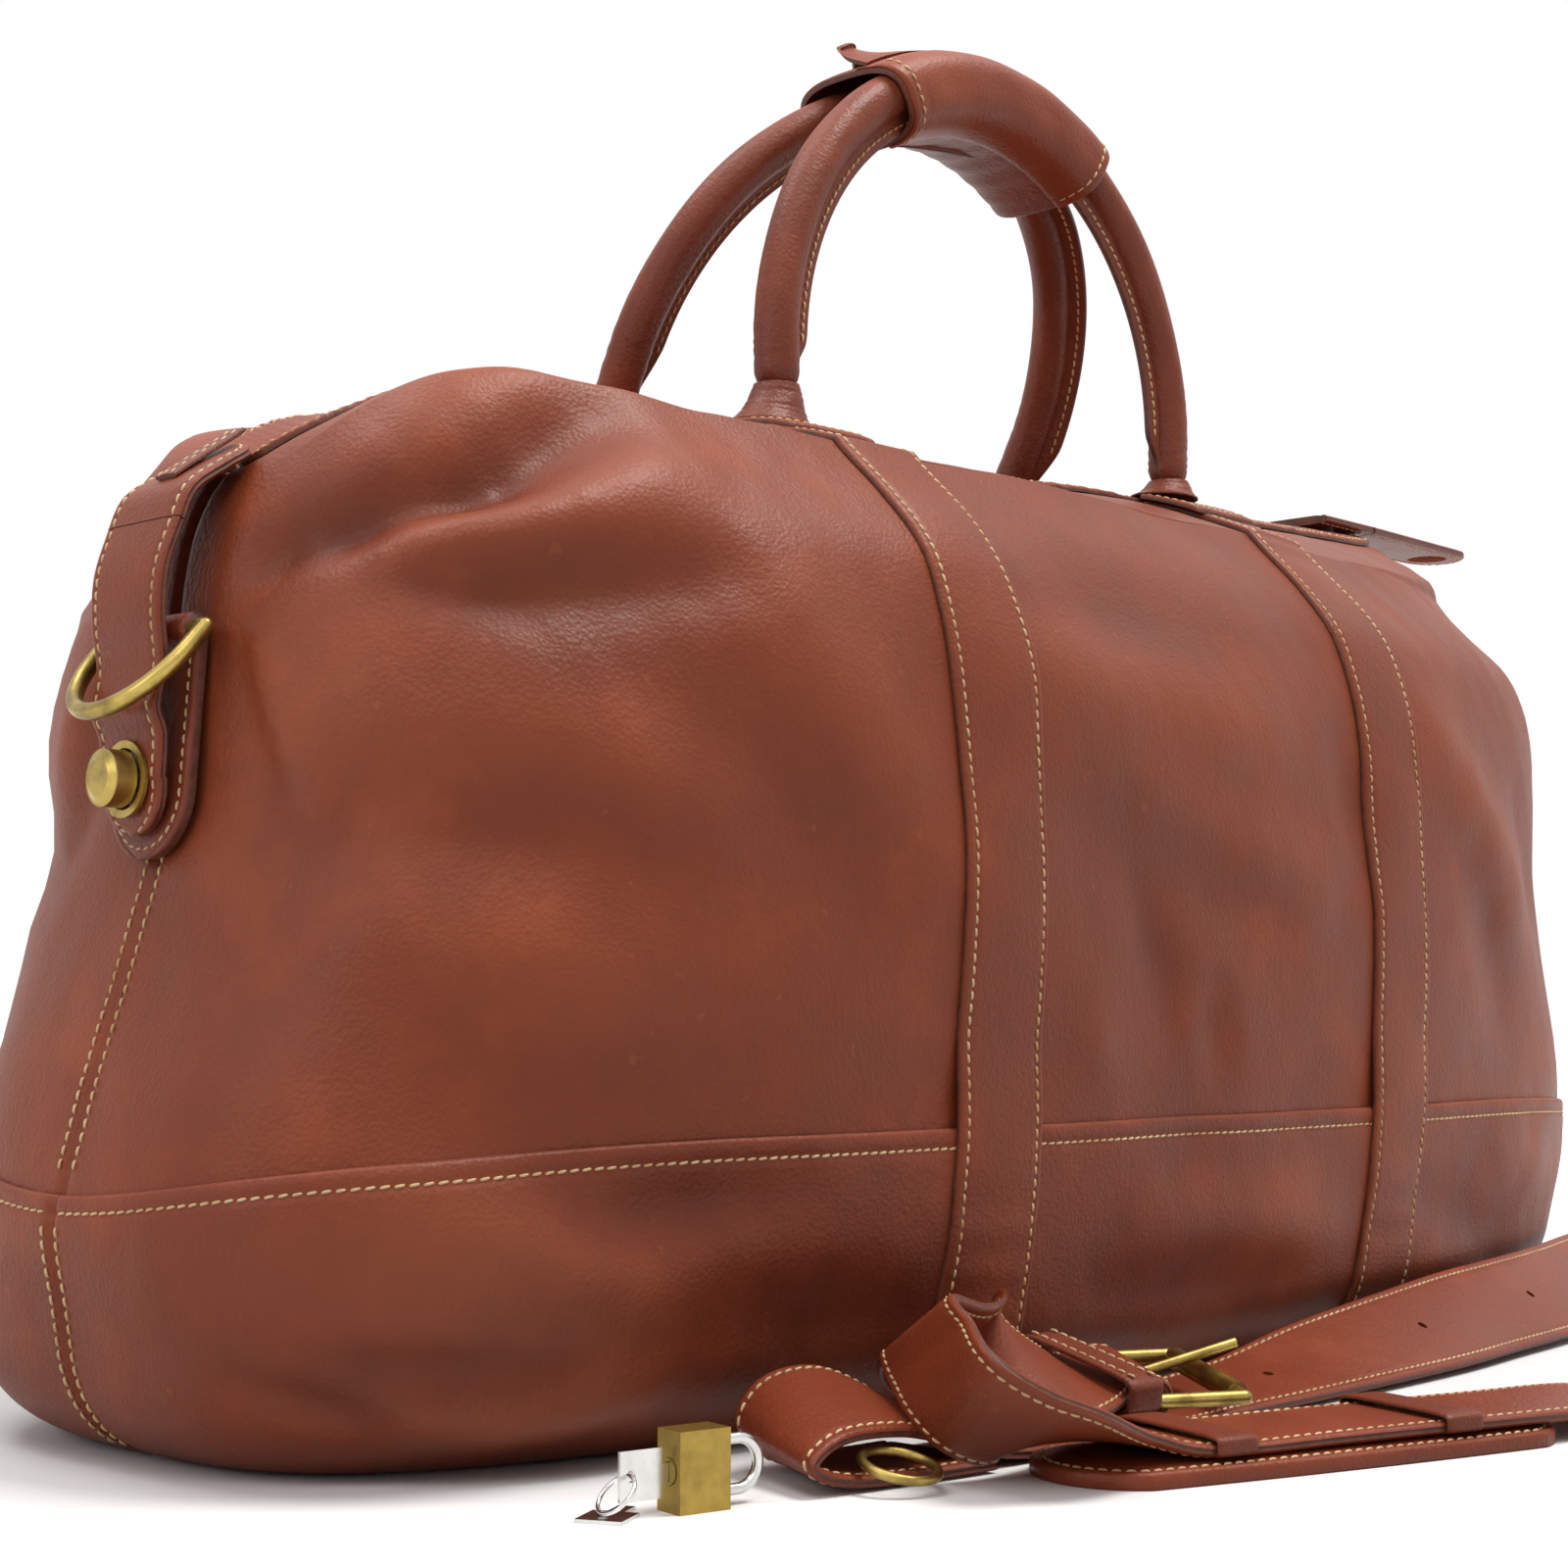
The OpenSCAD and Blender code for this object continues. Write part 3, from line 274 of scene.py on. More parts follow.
def leather(name, middle, dark, pale, rough=0.45, crease=1.0):
    paint = Paint(name)
    clouds = paint.noise(CLOUD, 3.0, 0.5)
    blots = paint.noise(BLOT, 4.0, 0.6)
    low = paint.painted("low")
    shade = (clouds * 0.5 + blots * 0.5).spread(0.3, 0.6, 0.4, 1.0)
    colour = shade.mix(dark, middle)
    colour = (blots * clouds).spread(0.28, 0.46, 0.0, 0.3).mix(colour, pale)
    # painted shade: the colour darkens in the valleys of the folds
    colour = low.spread(0.0, 1.0, 0.0, 0.6).mix(colour, dark)
    # painted highlight: the colour pales on the ridges of the folds
    colour = (low * -1.0).spread(0.0, 1.0, 0.0, 0.5).mix(colour, pale)
    colour = paint.noise(SCUFF, 2.0, 0.5).spread(0.71, 0.76, 0.0, 0.2).mix(colour, pale)
    pebbles = paint.cells(PEBBLE)
    fibres = (paint.noise(FIBRE, 5.0, 0.62, (1, 1, 0.45)) - 0.5).size()
    waves = (paint.noise(CREASE, 5.0, 0.6) - 0.5).size()
    height = pebbles * 0.5 + fibres * (1.3 * crease) + waves * (1.3 * crease) + clouds * 1.2
    sheen = (blots * 0.2 + pebbles * 0.08) + (rough - 0.12)
    paint.shader.inputs["Specular IOR Level"].default_value = LEATHER_SHINE
    return paint.close(colour, sheen, height=height, depth=LEATHER_DEPTH, strength=LEATHER_BUMP)


TAN = leather("leather", tone(134, 60, 32), tone(94, 38, 19), tone(178, 94, 60))
RED = leather("base leather", tone(134, 60, 34), tone(82, 33, 17), tone(176, 96, 62))
ROLLED = leather("handle leather", tone(124, 57, 36), tone(84, 36, 22), tone(170, 94, 66), 0.42, 1.0)
STRAP = leather("strap leather", tone(134, 60, 34), tone(96, 40, 22), tone(170, 92, 60), 0.42, 0.6)
print("leathers ready")

# %% [markdown]
# Cut edges of the real straps are burnished dark, and the thread is waxed cotton. The metal is
# old brass with a patina, which noise spreads over it, and the same few steps make each metal and
# each cloth from its own colours.

# %% Edges, thread, metals and cloths
def cut_edge():
    paint = Paint("burnished edge")
    fray = paint.noise(300.0, 4.0, 0.6)
    colour = fray.spread(0.35, 0.65).mix(tone(70, 34, 22), tone(108, 56, 36))
    return paint.close(colour, fray * 0.2 + 0.45, height=fray, depth=0.0004, strength=0.5)


def thread():
    paint = Paint("thread")
    twist = paint.noise(1400.0, 2.0, 0.5)
    soil = paint.noise(40.0, 3.0, 0.5)
    colour = soil.spread(0.35, 0.65).mix(tone(192, 150, 106), tone(226, 196, 152))
    return paint.close(colour, 0.62, height=twist, depth=0.0002, strength=0.6)


def metal(name, bright, dull, rough, tarnish=0.8):
    paint = Paint(name)
    patina = paint.noise(85.0, 5.0, 0.65)
    rub = paint.noise(900.0, 3.0, 0.5, (1, 1, 0.12))
    cover = patina.spread(0.42, 0.68, 0.0, tarnish)
    colour = cover.mix(bright, dull)
    roughness = patina * 0.25 + rub * 0.12 + (rough - 0.15)
    return paint.close(colour, roughness, 1.0, patina * 0.6 + rub * 0.4, 0.00015, 0.35)


def cloth(name, colour, dark, pitch):
    paint = Paint(name)
    weft = paint.noise(pitch, 2.0, 0.5, (1, 1, 0.2))
    warp = paint.noise(pitch, 2.0, 0.5, (0.2, 0.2, 1))
    weave = weft + warp
    shade = (weave * 0.5).spread(0.35, 0.65).mix(dark, colour)
    return paint.close(shade, 0.85, height=weave, depth=0.0003)


EDGE = cut_edge()
THREAD = thread()
BRASS = metal("antique brass", tone(176, 152, 84), tone(96, 78, 44), 0.34)
LOCK_BRASS = metal("padlock brass", tone(168, 142, 72), tone(112, 92, 46), 0.4, 0.6)
STEEL = metal("bright steel", tone(214, 214, 212), tone(150, 148, 144), 0.2, 0.4)
TAPE = cloth("olive tape", tone(120, 112, 78), tone(82, 76, 50), 1600.0)
LINING = cloth("lining cloth", tone(120, 104, 84), tone(84, 72, 58), 900.0)
CORE = cloth("handle core", tone(196, 176, 140), tone(150, 130, 98), 700.0)
BOARD = cloth("base board", tone(120, 88, 58), tone(92, 66, 42), 300.0)
print("edge, thread, metals and cloths ready")

# %% [markdown]
# The floor is white where it is seen, and a middle grey for the light it gives back to the bag,
# as a plain white one would wash out the base. Far from the bag it glows, so that it runs into
# the white of the world without a line.

# %% Paint the floor
GLOW_FROM, GLOW_FULL = 0.75, 1.5


def plain_floor():
    paint = Paint("white paper")
    speck = paint.noise(3.0, 2.0, 0.5)
    white = speck.mix(tone(250, 250, 250), tone(246, 246, 246))
    seen = seen_directly(paint.tree)
    gap = paint.add("ShaderNodeVectorMath", {"operation": "LENGTH"}, {0: paint.place}, "Value")
    far = gap.spread(GLOW_FROM, GLOW_FULL)
    glow = (far * seen).mix((0.0, 0.0, 0.0), (1.0, 1.0, 1.0))
    plug(paint.tree, glow, paint.shader.inputs["Emission Color"])
    paint.shader.inputs["Emission Strength"].default_value = 1.0
    return paint.close(seen.mix(tone(176, 174, 172), white), 0.6)


floor.data.materials.append(plain_floor())
print("floor painted")

# %% [markdown]
# ## The body's surface
# The body is one soft shape, longer at the bottom than at the top. It could be sculpted from a
# box, but the new leather has to lie exactly on the solids, so it comes from the same formula. u
# runs from 0 at the left end over 90 at the front to 180 at the right end. v is 1 at the bottom
# edge, 2 at the base seam, 3 at the ridge and 4 at the zip.

# %% Curves of the outline
HEIGHTS = np.array([0, 64, 150, 225, 266.0])
LENGTHS = np.array([600, 614, 566, 554, 508]) / 2
DEPTHS = np.array([216, 237, 248, 224, 156]) / 2
LEFT_SINK, RIGHT_RISE, RIGHT_FULL = 28, 20, 30
CORNER, EDGE_R = 3.5, 26
SEAM_Z, SEAM_DIP = 77, 14
# How far round, in degrees of u, the left end sinks, the right one rises and fills, the seam dips
SINK_WIDE, RISE_WIDE, FULL_WIDE, DIP_WIDE = 45, 60, 75, 60
LOW_POWER, CROWN, LIP_GRADE = 1.6, 3, 5
HANDLE_R, HANDLE_Y = 99, 36
ZIP_HALF, ZIP_BEND_X, ZIP_BEND_H, ZIP_RIGHT_H, ZIP_DROP, ZIP_GAP = 260, 190, 272, 295, 23, 12
TRIM_T, PANEL_T, LAYER_GAP = 1.8, 2.2, 0.1
SEWN = TRIM_T + 2 * LAYER_GAP
RIDGE = HEIGHTS[-1]


def curve(values, z):
    z = np.clip(z, 0, RIDGE)
    rise = np.r_[values[1:], values[-1]] - np.r_[values[0], values[:-1]]
    run = np.r_[HEIGHTS[1:], HEIGHTS[-1]] - np.r_[HEIGHTS[0], HEIGHTS[:-1]]
    slopes = rise / run
    i = np.clip(np.searchsorted(HEIGHTS, z, side="right") - 1, 0, len(HEIGHTS) - 2)
    span = HEIGHTS[i + 1] - HEIGHTS[i]
    t = (z - HEIGHTS[i]) / span
    blend = t * t * (3 - 2 * t)
    bend = slopes[i] * (t**3 - 2 * t * t + t) + slopes[i + 1] * (t**3 - t * t)
    return values[i] * (1 - blend) + values[i + 1] * blend + span * bend


def edge_in(z):
    return EDGE_R - np.sqrt(np.maximum(0, EDGE_R**2 - np.clip(EDGE_R - z, 0, EDGE_R) ** 2))


def eased(t):
    t = np.clip(t, 0, 1)
    return t * t * (3 - 2 * t)


def mixed(a, b, t):
    return a + (b - a) * t


def corner(u):
    a = np.radians(u)
    return (np.abs(np.cos(a)) ** CORNER + np.abs(np.sin(a)) ** CORNER) ** (1 / CORNER)


def folded(u):
    return np.where(u < 0, -u, np.where(u > 180, 360 - u, u))


def near_left(u, wide):
    return eased(1 - folded(u) / wide)


def near_right(u, wide):
    return near_left(180 - folded(u), wide)


def zip_at(x):
    line = ZIP_BEND_H + (x + ZIP_BEND_X) * (ZIP_RIGHT_H - ZIP_BEND_H) / (ZIP_HALF + ZIP_BEND_X)
    past = np.maximum(0, -ZIP_BEND_X - x) / (ZIP_HALF - ZIP_BEND_X)
    return line - ZIP_DROP * past**2


print("height of the zip at the middle:", round(float(zip_at(0.0)), 1))

# %% [markdown]
# The master surface joins the curves of height, length and depth. surf rounds its ridge off near
# the right end, where the real leather slumps, and u_of finds the place of a piece that is drawn
# from the front, such as a band.

# %% Points of the surface
def master(u, v):
    """Point of the master surface for arrays u and v, with its ridge sharp."""
    u, v = np.broadcast_arrays(np.asarray(u, float), np.asarray(v, float))
    a = np.radians(u)
    ridge = RIDGE - LEFT_SINK * near_left(u, SINK_WIDE) + RIGHT_RISE * near_right(u, RISE_WIDE)
    seam = SEAM_Z - SEAM_DIP * (near_left(u, DIP_WIDE) + near_right(u, DIP_WIDE))
    side, top = np.clip(v - 1, 0, 1), np.clip(v - 3, 0, 1)
    low = seam * side**LOW_POWER
    high = mixed(seam, ridge, np.sin(np.radians(90 * np.clip(v - 2, 0, 1))))
    crown = mixed(ridge, zip_at(-ZIP_HALF * np.cos(a) / corner(u)), top) + CROWN * np.sin(np.pi * top)
    z = np.where(v <= 1, 0, np.where(v <= 2, low, np.where(v <= 3, high, crown)))
    full = RIGHT_FULL * near_right(u, FULL_WIDE)
    at = np.where(v <= 1, 0, np.where(v <= 3, z, ridge))
    more = np.where(v > 1, full * np.clip(at / RIDGE, 0, 1) ** 3, 0)
    long = curve(LENGTHS, at) - edge_in(at) + more
    deep = curve(DEPTHS, at) - edge_in(at)
    reach = mixed(long, ZIP_HALF, top)
    lips = ZIP_GAP / 2 * np.minimum(1, np.abs(np.sin(a)) * LIP_GRADE) * np.sign(np.sin(a))
    y = mixed(deep * np.sin(a) / corner(u), lips, top) * np.where(v < 1, v, 1)
    return np.stack([-reach * np.cos(a) / corner(u), -y, SEWN + z], -1)


SOFT_V, SOFT_WIDE, SOFT_SHARE, SOFT_REACH = 0.26, 0.24, 0.5, 80


def surf(u, v):
    """Point of the master surface, its ridge rounded off towards the right end."""
    u, v = np.broadcast_arrays(np.asarray(u, float), np.asarray(v, float))
    p = master(u, v)
    soft = SOFT_SHARE * near_right(u, SOFT_REACH) * np.exp(-((v - 3) / SOFT_WIDE) ** 2)
    part = soft > 0.005
    if part.any():
        above, below = (master(u[part], v[part] + step) for step in (SOFT_V, -SOFT_V))
        p[part] = mixed(p[part], (above + below) / 2, soft[part][:, None])
    return p


def outward(u, v):
    """Way out of the surface at u and v, straight down on the bottom."""
    u, v = np.broadcast_arrays(np.asarray(u, float), np.asarray(v, float))
    w, e = np.clip(v, 0.97, 3.96), 0.03
    n = np.cross(surf(u + 1, w) - surf(u - 1, w), surf(u, w + e) - surf(u, w - e))
    n /= np.maximum(1e-9, np.linalg.norm(n, axis=-1, keepdims=True))
    return np.where((v < 0.97)[..., None], [0.0, 0.0, -1.0], n)


def half_reach(v):
    """Half length of the surface where it is measured straight from the front."""
    z = surf(90.0 + 0 * v, v)[..., 2] - SEWN
    at = np.where(v <= 1, 0, np.where(v <= 3, z, RIDGE))
    return mixed(curve(LENGTHS, at) - edge_in(at), ZIP_HALF, np.clip(v - 3, 0, 1))


def u_of(x, v):
    """The u of the front at a given x."""
    q = np.minimum(1, np.abs(x) / half_reach(v))
    a = np.degrees(np.arctan2((1 - q**CORNER) ** (1 / CORNER), q))
    return np.where(x < 0, a, 180 - a)


print("front at half height:", surf(90.0, 2.4).round(1))

# %% [markdown]
# ## Folds
# Old leather falls in a few deep folds near the ends and in gentle waves elsewhere. A bump
# couldn't show them, because they change the outline and the shadows, so they move the points
# themselves. Each fold is a stretch from one point to another with a width and a height, and
# below zero it is a valley. The places were read off the photo.

# %% Folds and waves
FOLDS = [
    ((-279, -14, 214), (-268, -56, 227), 9, -6.5), ((-268, -56, 227), (-241, -78, 240), 10, -8.5),
    ((-241, -78, 240), (-208, -72, 258), 12, -6.0), ((-254, -50, 252), (-196, -66, 268), 18, 5.0),
    ((-264, -68, 218), (-230, -92, 231), 11, 4.5), ((-230, -92, 231), (-190, -92, 250), 14, 3.5),
    ((-266, -66, 212), (-243, -88, 209), 8, -4.0), ((-243, -88, 209), (-190, -104, 217), 11, -4.5),
    ((-282, -22, 202), (-282, -44, 164), 9, -3.5), ((-281, -42, 164), (-276, -62, 140), 12, -2.5),
    ((-280, -34, 196), (-278, -54, 158), 10, 2.5), ((-276, -56, 186), (-206, -112, 158), 19, 3.4),
    ((-272, -68, 152), (-232, -104, 152), 15, -3.0), ((-232, -104, 154), (-190, -116, 138), 15, -2.4),
    ((-252, -98, 122), (-216, -110, 106), 16, 2.6), ((-222, -104, 198), (-160, -120, 142), 20, -2.6),
    ((-170, -112, 206), (-128, -120, 150), 18, 2.6), ((-280, -40, 110), (-262, -84, 96), 16, -2.2),
    ((-88, -120, 204), (26, -121, 192), 20, 3.6), ((-40, -124, 142), (-20, -124, 106), 10, -2.8),
    ((-6, -124, 114), (4, -123, 96), 7, -2.6), ((-60, -124, 156), (26, -125, 140), 15, -2.4),
    ((-30, -124, 168), (50, -124, 150), 12, 2.2), ((76, -122, 190), (82, -124, 160), 12, -2.6),
    ((-64, -124, 110), (-50, -123, 92), 10, 2.0), ((132, -121, 202), (190, -112, 150), 16, 3.0),
    ((155, -120, 156), (182, -116, 116), 14, -2.8), ((210, -104, 176), (236, -90, 120), 14, -2.6),
    ((246, -84, 230), (262, -66, 182), 14, 3.0), ((-80, -116, 228), (60, -110, 232), 18, -2.4),
    ((-290, 22, 196), (-286, 44, 150), 16, -3.0), ((-292, 30, 236), (-268, 66, 216), 16, 3.4),
    ((-270, -90, 64), (-222, -106, 44), 14, 4.6), ((-284, -76, 28), (-238, -98, 25), 8, -4.2),
    ((-234, -106, 60), (-178, -116, 64), 10, -3.0), ((-296, -58, 26), (-272, -78, 15), 6, -3.4),
    ((-264, -84, 14), (-214, -100, 18), 9, 3.0), ((-292, -50, 58), (-276, -78, 50), 12, 2.6),
    ((-190, -108, 34), (-120, -112, 30), 13, -2.8), ((-30, -114, 52), (60, -114, 44), 13, 2.4),
    ((-48, -113, 30), (44, -112, 28), 10, -2.4), ((122, -112, 50), (190, -104, 30), 12, -2.4),
    ((-302, 10, 62), (-300, -30, 52), 14, 2.4), ((180, -110, 60), (240, -92, 48), 12, 2.4),
]
FOLD_GAIN = 1.2


def random_waves(count, shortest, longest, steep=1.0):
    """Direction, phase and length of random waves."""
    return [(rng.normal(size=3) * (1.0, 1.0, steep), rng.uniform(0, math.tau), rng.uniform(shortest, longest))
            for _ in range(count)]


WAVES, WAVE_HEIGHT = random_waves(14, 55, 170, 1.2), 0.9
RIPPLES, RIPPLE_HEIGHT = random_waves(10, 14, 34), 0.16
WAVE_BEND, WAVE_BEND_LONG = 14, 47


def fold_height(p):
    """Height of the folds over the surface, in mm, at points p."""
    total = np.zeros(p.shape[:-1])
    for start, end, width, height in FOLDS:
        a, b = np.array(start, float), np.array(end, float)
        along = np.clip(((p - a) @ (b - a)) / ((b - a) @ (b - a)), 0, 1)
        gap = np.linalg.norm(p - (a + along[..., None] * (b - a)), axis=-1)
        taper = 0.55 + 0.45 * np.sin(np.pi * along)
        total += height * taper * np.exp(-((gap / width) ** 2))
    return total * FOLD_GAIN


def wave_height(p, waves, height):
    bent = p + WAVE_BEND * np.sin(p[..., [1, 2, 0]] / WAVE_BEND_LONG)
    parts = [np.sin(bent @ (k / np.linalg.norm(k)) * math.tau / long + phase)
             for k, phase, long in waves]
    return height * sum(parts) / math.sqrt(len(waves))


# Calm zones, as the mm where each one starts and how wide its border is
TAB_ZONE_X, TAB_ZONE_Y, TAB_ZONE_Z = (225, 20), (16, 22), (128, 14)
FOOT_ZONE_X, FOOT_ZONE_Y, FOOT_ZONE_LOW = (14, 16), (14, 12), 262
FLOOR_ZONE, ZIP_ZONE_Y, ZIP_ZONE_LOW = (3, 16), (12, 16), 240


def beyond(place, zone):
    """0 up to the start of a zone, 1 past its border."""
    start, border = zone
    return eased((place - start) / border)


def calm(p):
    """1 where leather may move, 0 at the floor, the tabs, the handle feet and the zip."""
    x, y, z = np.abs(p[..., 0]), np.abs(p[..., 1]), p[..., 2]
    tabs = 1 - (1 - beyond(y, TAB_ZONE_Y)) * beyond(x, TAB_ZONE_X) * beyond(z, TAB_ZONE_Z)
    beside = beyond(np.abs(x - HANDLE_R), FOOT_ZONE_X), beyond(np.abs(y - HANDLE_Y), FOOT_ZONE_Y)
    feet = np.where(z > FOOT_ZONE_LOW, 1 - (1 - beside[0]) * (1 - beside[1]), 1)
    lips = np.where(z > ZIP_ZONE_LOW, beyond(y, ZIP_ZONE_Y), 1)
    return tabs * feet * beyond(z, FLOOR_ZONE) * lips


def relief(p):
    return calm(p) * (fold_height(p) + wave_height(p, WAVES, WAVE_HEIGHT)
                      + wave_height(p, RIPPLES, RIPPLE_HEIGHT))


def skin(u, v, off):
    """Point off mm outside the creased surface."""
    p = surf(u, v)
    return p + outward(u, v) * (np.asarray(off) + relief(p))[..., None]


print(len(FOLDS), "folds; deepest", min(f[3] for f in FOLDS), "mm")

# %% [markdown]
# ## Mesh builders
# Most pieces are strips of leather with a face, an underside and cut edges. They could be
# extruded from a plane and solidified, but the layers have to lie on each other to a tenth of a
# millimetre, so loft joins worked out rings of points into a closed solid. The second half of a
# ring is its underside, and the steps in edge_cols are cut edges. on_back mirrors points to the
# other side of the bag.

# %% Make a mesh and loft
pieces = {}


def make(name, points, faces, slots, slot, body, low=None, bend=50):
    """A mesh of points in mm. Without a body it is left free."""
    mesh = bpy.data.meshes.new(name)
    mesh.from_pydata((np.asarray(points, float) * MM).tolist(), [], faces)
    for material in slots:
        mesh.materials.append(material)
    if low is not None:
        layer = mesh.attributes.new("low", "FLOAT", "POINT")
        layer.data.foreach_set("value", np.asarray(low, np.float32).ravel())
    mesh.polygons.foreach_set("use_smooth", [True] * len(mesh.polygons))
    mesh.set_sharp_from_angle(angle=math.radians(bend))
    obj = bpy.data.objects.new(name, mesh)
    bpy.context.collection.objects.link(obj)
    slot != "stitching"
    if body:
        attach(obj, body)
    pieces[name] = obj
    return obj


def loft_faces(n, m, caps, closed, start=0):
    grid = start + np.arange(n * m).reshape(n, m)
    nxt = np.roll(grid, -1, 1)
    rows = n if closed else n - 1
    below = np.roll(grid, -1, 0)
    under = np.roll(nxt, -1, 0)
    faces = [(int(grid[i, j]), int(nxt[i, j]), int(under[i, j]), int(below[i, j]))
             for i in range(rows) for j in range(m)]
    if caps and not closed:
        for ring, turn in ((grid[0], 1), (grid[-1], -1)):
            for j in range(m // 2 - 1):
                quad = [int(ring[k]) for k in (m - 1 - j, m - 2 - j, j + 1, j)]
                faces.append(tuple(quad[::turn]))
    return faces


def loft(name, rings, material, slot, body, edge_cols=(), closed=False, low=None, edge=None,
         bend=50):
    rings = np.asarray(rings, float)
    n, m = rings.shape[:2]
    faces = loft_faces(n, m, True, closed)
    obj = make(name, rings.reshape(-1, 3), faces, (material, edge or EDGE), slot, body, low, bend)
    rows = n if closed else n - 1
    marks = np.zeros(len(faces), np.int32)
    for column in edge_cols:
        marks[column % m: rows * m: m] = 1
    if not closed:
        marks[rows * m:] = 1
    obj.data.polygons.foreach_set("material_index", marks)
    outward_facing(obj.data)
    return obj


def outward_facing(mesh):
    """Turns all faces round if the closed mesh encloses a negative volume."""
    points = np.empty(len(mesh.vertices) * 3)
    mesh.vertices.foreach_get("co", points)
    points = points.reshape(-1, 3)
    total = 0.0
    for poly in mesh.polygons:
        a, b, c = (points[i] for i in poly.vertices[:3])
        total += float(np.dot(a, np.cross(b, c)))
        if len(poly.vertices) > 3:
            total += float(np.dot(a, np.cross(c, points[poly.vertices[3]])))
    if total < 0:
        mesh.flip_normals()


def on_back(points):
    return np.asarray(points, float) * (1, -1, 1)


def slab(over, under):
    """Rings of a strip from the rows of its face and of its underside."""
    return np.concatenate([over, under[:, ::-1]], 1)


SIDES = (("front", np.asarray), ("back", on_back))
print("builders ready")

# %% [markdown]
# ## Stitches
# The seams are sewn with thick pale thread, and each stitch catches the light. A painted line
# would look flat, so each stitch is a short thread of five sides that dips at both ends. Sewn
# strips share one profile across, with rounded edges, a groove under each row and a soft swell
# between the rows.

# %% Rows of stitches
EDGE_PROFILE = [(0, -0.9), (0.35, -0.35), (1.0, -0.08), (2.1, 0.0), (2.8, -0.3), (3.6, 0.0), (5.2, 0.12)]
STITCH_IN, STITCH_PITCH, STITCH_LEN, STITCH_SLANT = 2.8, 3.3, 2.5, 0.12
THREAD_R, THREAD_LIFT = 0.42, 0.1
# How deep a row of stitches lies in its groove
GROOVE = 0.3


def across(width, swell=0.2):
    """Offsets across a strip and the drop of its face at each."""
    left = [(o - width / 2, d) for o, d in EDGE_PROFILE]
    return np.array(left + [(0, swell)] + [(-o, d) for o, d in reversed(left)])


def evenly(points, pitch):
    """Positions along a line of points, one pitch apart, as index and share."""
    steps = np.linalg.norm(np.diff(points, axis=0), axis=1)
    total = np.r_[0, np.cumsum(steps)]
    count = max(2, int(total[-1] / pitch))
    at = (np.arange(count) + 0.5) * total[-1] / count
    i = np.clip(np.searchsorted(total, at) - 1, 0, len(steps) - 1)
    return i, (at - total[i]) / np.maximum(1e-9, steps[i])


# Place along a stitch, thickness and lift of its rings
THREAD_SHAPE = [(-0.5, 0.35, -0.5), (-0.36, 0.9, 0.12), (0.0, 1.0, 0.3), (0.36, 0.9, 0.12), (0.5, 0.35, -0.5)]
THREAD_SIDES = 5


def stitches(name, rows, body):
    """rows: pairs of points along a row and the normals of the face there."""
    points, faces = [], []
    turn = np.arange(THREAD_SIDES) * math.tau / THREAD_SIDES
    for line, normals in rows:
        line, normals = np.asarray(line, float), np.asarray(normals, float)
        index, share = evenly(line, STITCH_PITCH)
        for i, t in zip(index, share):
            mid = mixed(line[i], line[i + 1], t)
            up = mixed(normals[i], normals[i + 1], t)
            up = up / max(1e-9, np.linalg.norm(up))
            along = line[i + 1] - line[i]
            along = along / max(1e-9, np.linalg.norm(along))
            side = np.cross(up, along)
            along = along + side * STITCH_SLANT
            start = len(points)
            for along_at, radius, lift in THREAD_SHAPE:
                centre = mid + along * along_at * STITCH_LEN + up * (lift * THREAD_R + THREAD_LIFT)
                for a in turn:
                    points.append(centre + THREAD_R * radius * (math.cos(a) * side + math.sin(a) * up))
            faces += loft_faces(len(THREAD_SHAPE), THREAD_SIDES, False, False, start)
            faces.append(tuple(range(start + THREAD_SIDES - 1, start - 1, -1)))
            last = start + (len(THREAD_SHAPE) - 1) * THREAD_SIDES
            faces.append(tuple(range(last, last + THREAD_SIDES)))
    return make(name, points, faces, (THREAD,), "stitching", body, bend=80)


print("stitches are", STITCH_LEN, "mm long and", STITCH_PITCH, "mm apart")

# %% [markdown]
# ## The body
# Two upper panels meet at the ends in a seam that draws them in a little. They are layers of the
# creased surface. The front one has more points, because it is seen close up.

# %% Panels
SEAM_U = np.array([0.02, 0.35, 0.7, 1.1, 1.6, 2.3, 3.2, 4.4])
AROUND = np.r_[SEAM_U, np.linspace(6, 62, 170), np.linspace(62, 174, 160)[1:], 180 - SEAM_U[::-1]]
AROUND_COARSE = np.r_[SEAM_U, np.linspace(6, 174, 170), 180 - SEAM_U[::-1]]
SEAM_DEPTH, SEAM_HALF = 1.5, 1.7
# Fold depth in mm for full painted shade in a valley, and fold height for full painted highlight on a ridge
LOW_FULL = 8.0


def drawn_in(p):
    """Depth of the end seams at points p."""
    past_end = eased((np.abs(p[..., 0]) - 220) / 20)
    return -SEAM_DEPTH * past_end * np.exp(-((p[..., 1] / SEAM_HALF) ** 2))


def lowness(p):
    """Layer that tells the leather where it lies in a valley or on a ridge, for painted shade in the valleys
    and a painted highlight on the ridges.
    """
    low = np.clip(-relief(p) / LOW_FULL, -1, 1)
    return slab(low, low)


def layer(us, vs, inner, outer):
    """Rings of a layer between two distances from the surface; outer may change with v."""
    u, v = np.meshgrid(us, vs)
    p = surf(u, v)
    seam = drawn_in(p)
    outer = np.reshape(outer, (-1, 1)) if np.ndim(outer) else outer
    over = skin(u, v, np.broadcast_to(outer, u.shape) + seam)
    return slab(over, skin(u, v, inner + seam)), lowness(p)


def layer_piece(name, us, vs, inner, outer, material, slot, turn=np.asarray):
    rings, low = layer(us, vs, inner, outer)
    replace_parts(loft(name, turn(rings), material, slot, "bag", (len(us) - 1, -1), low=low), name)


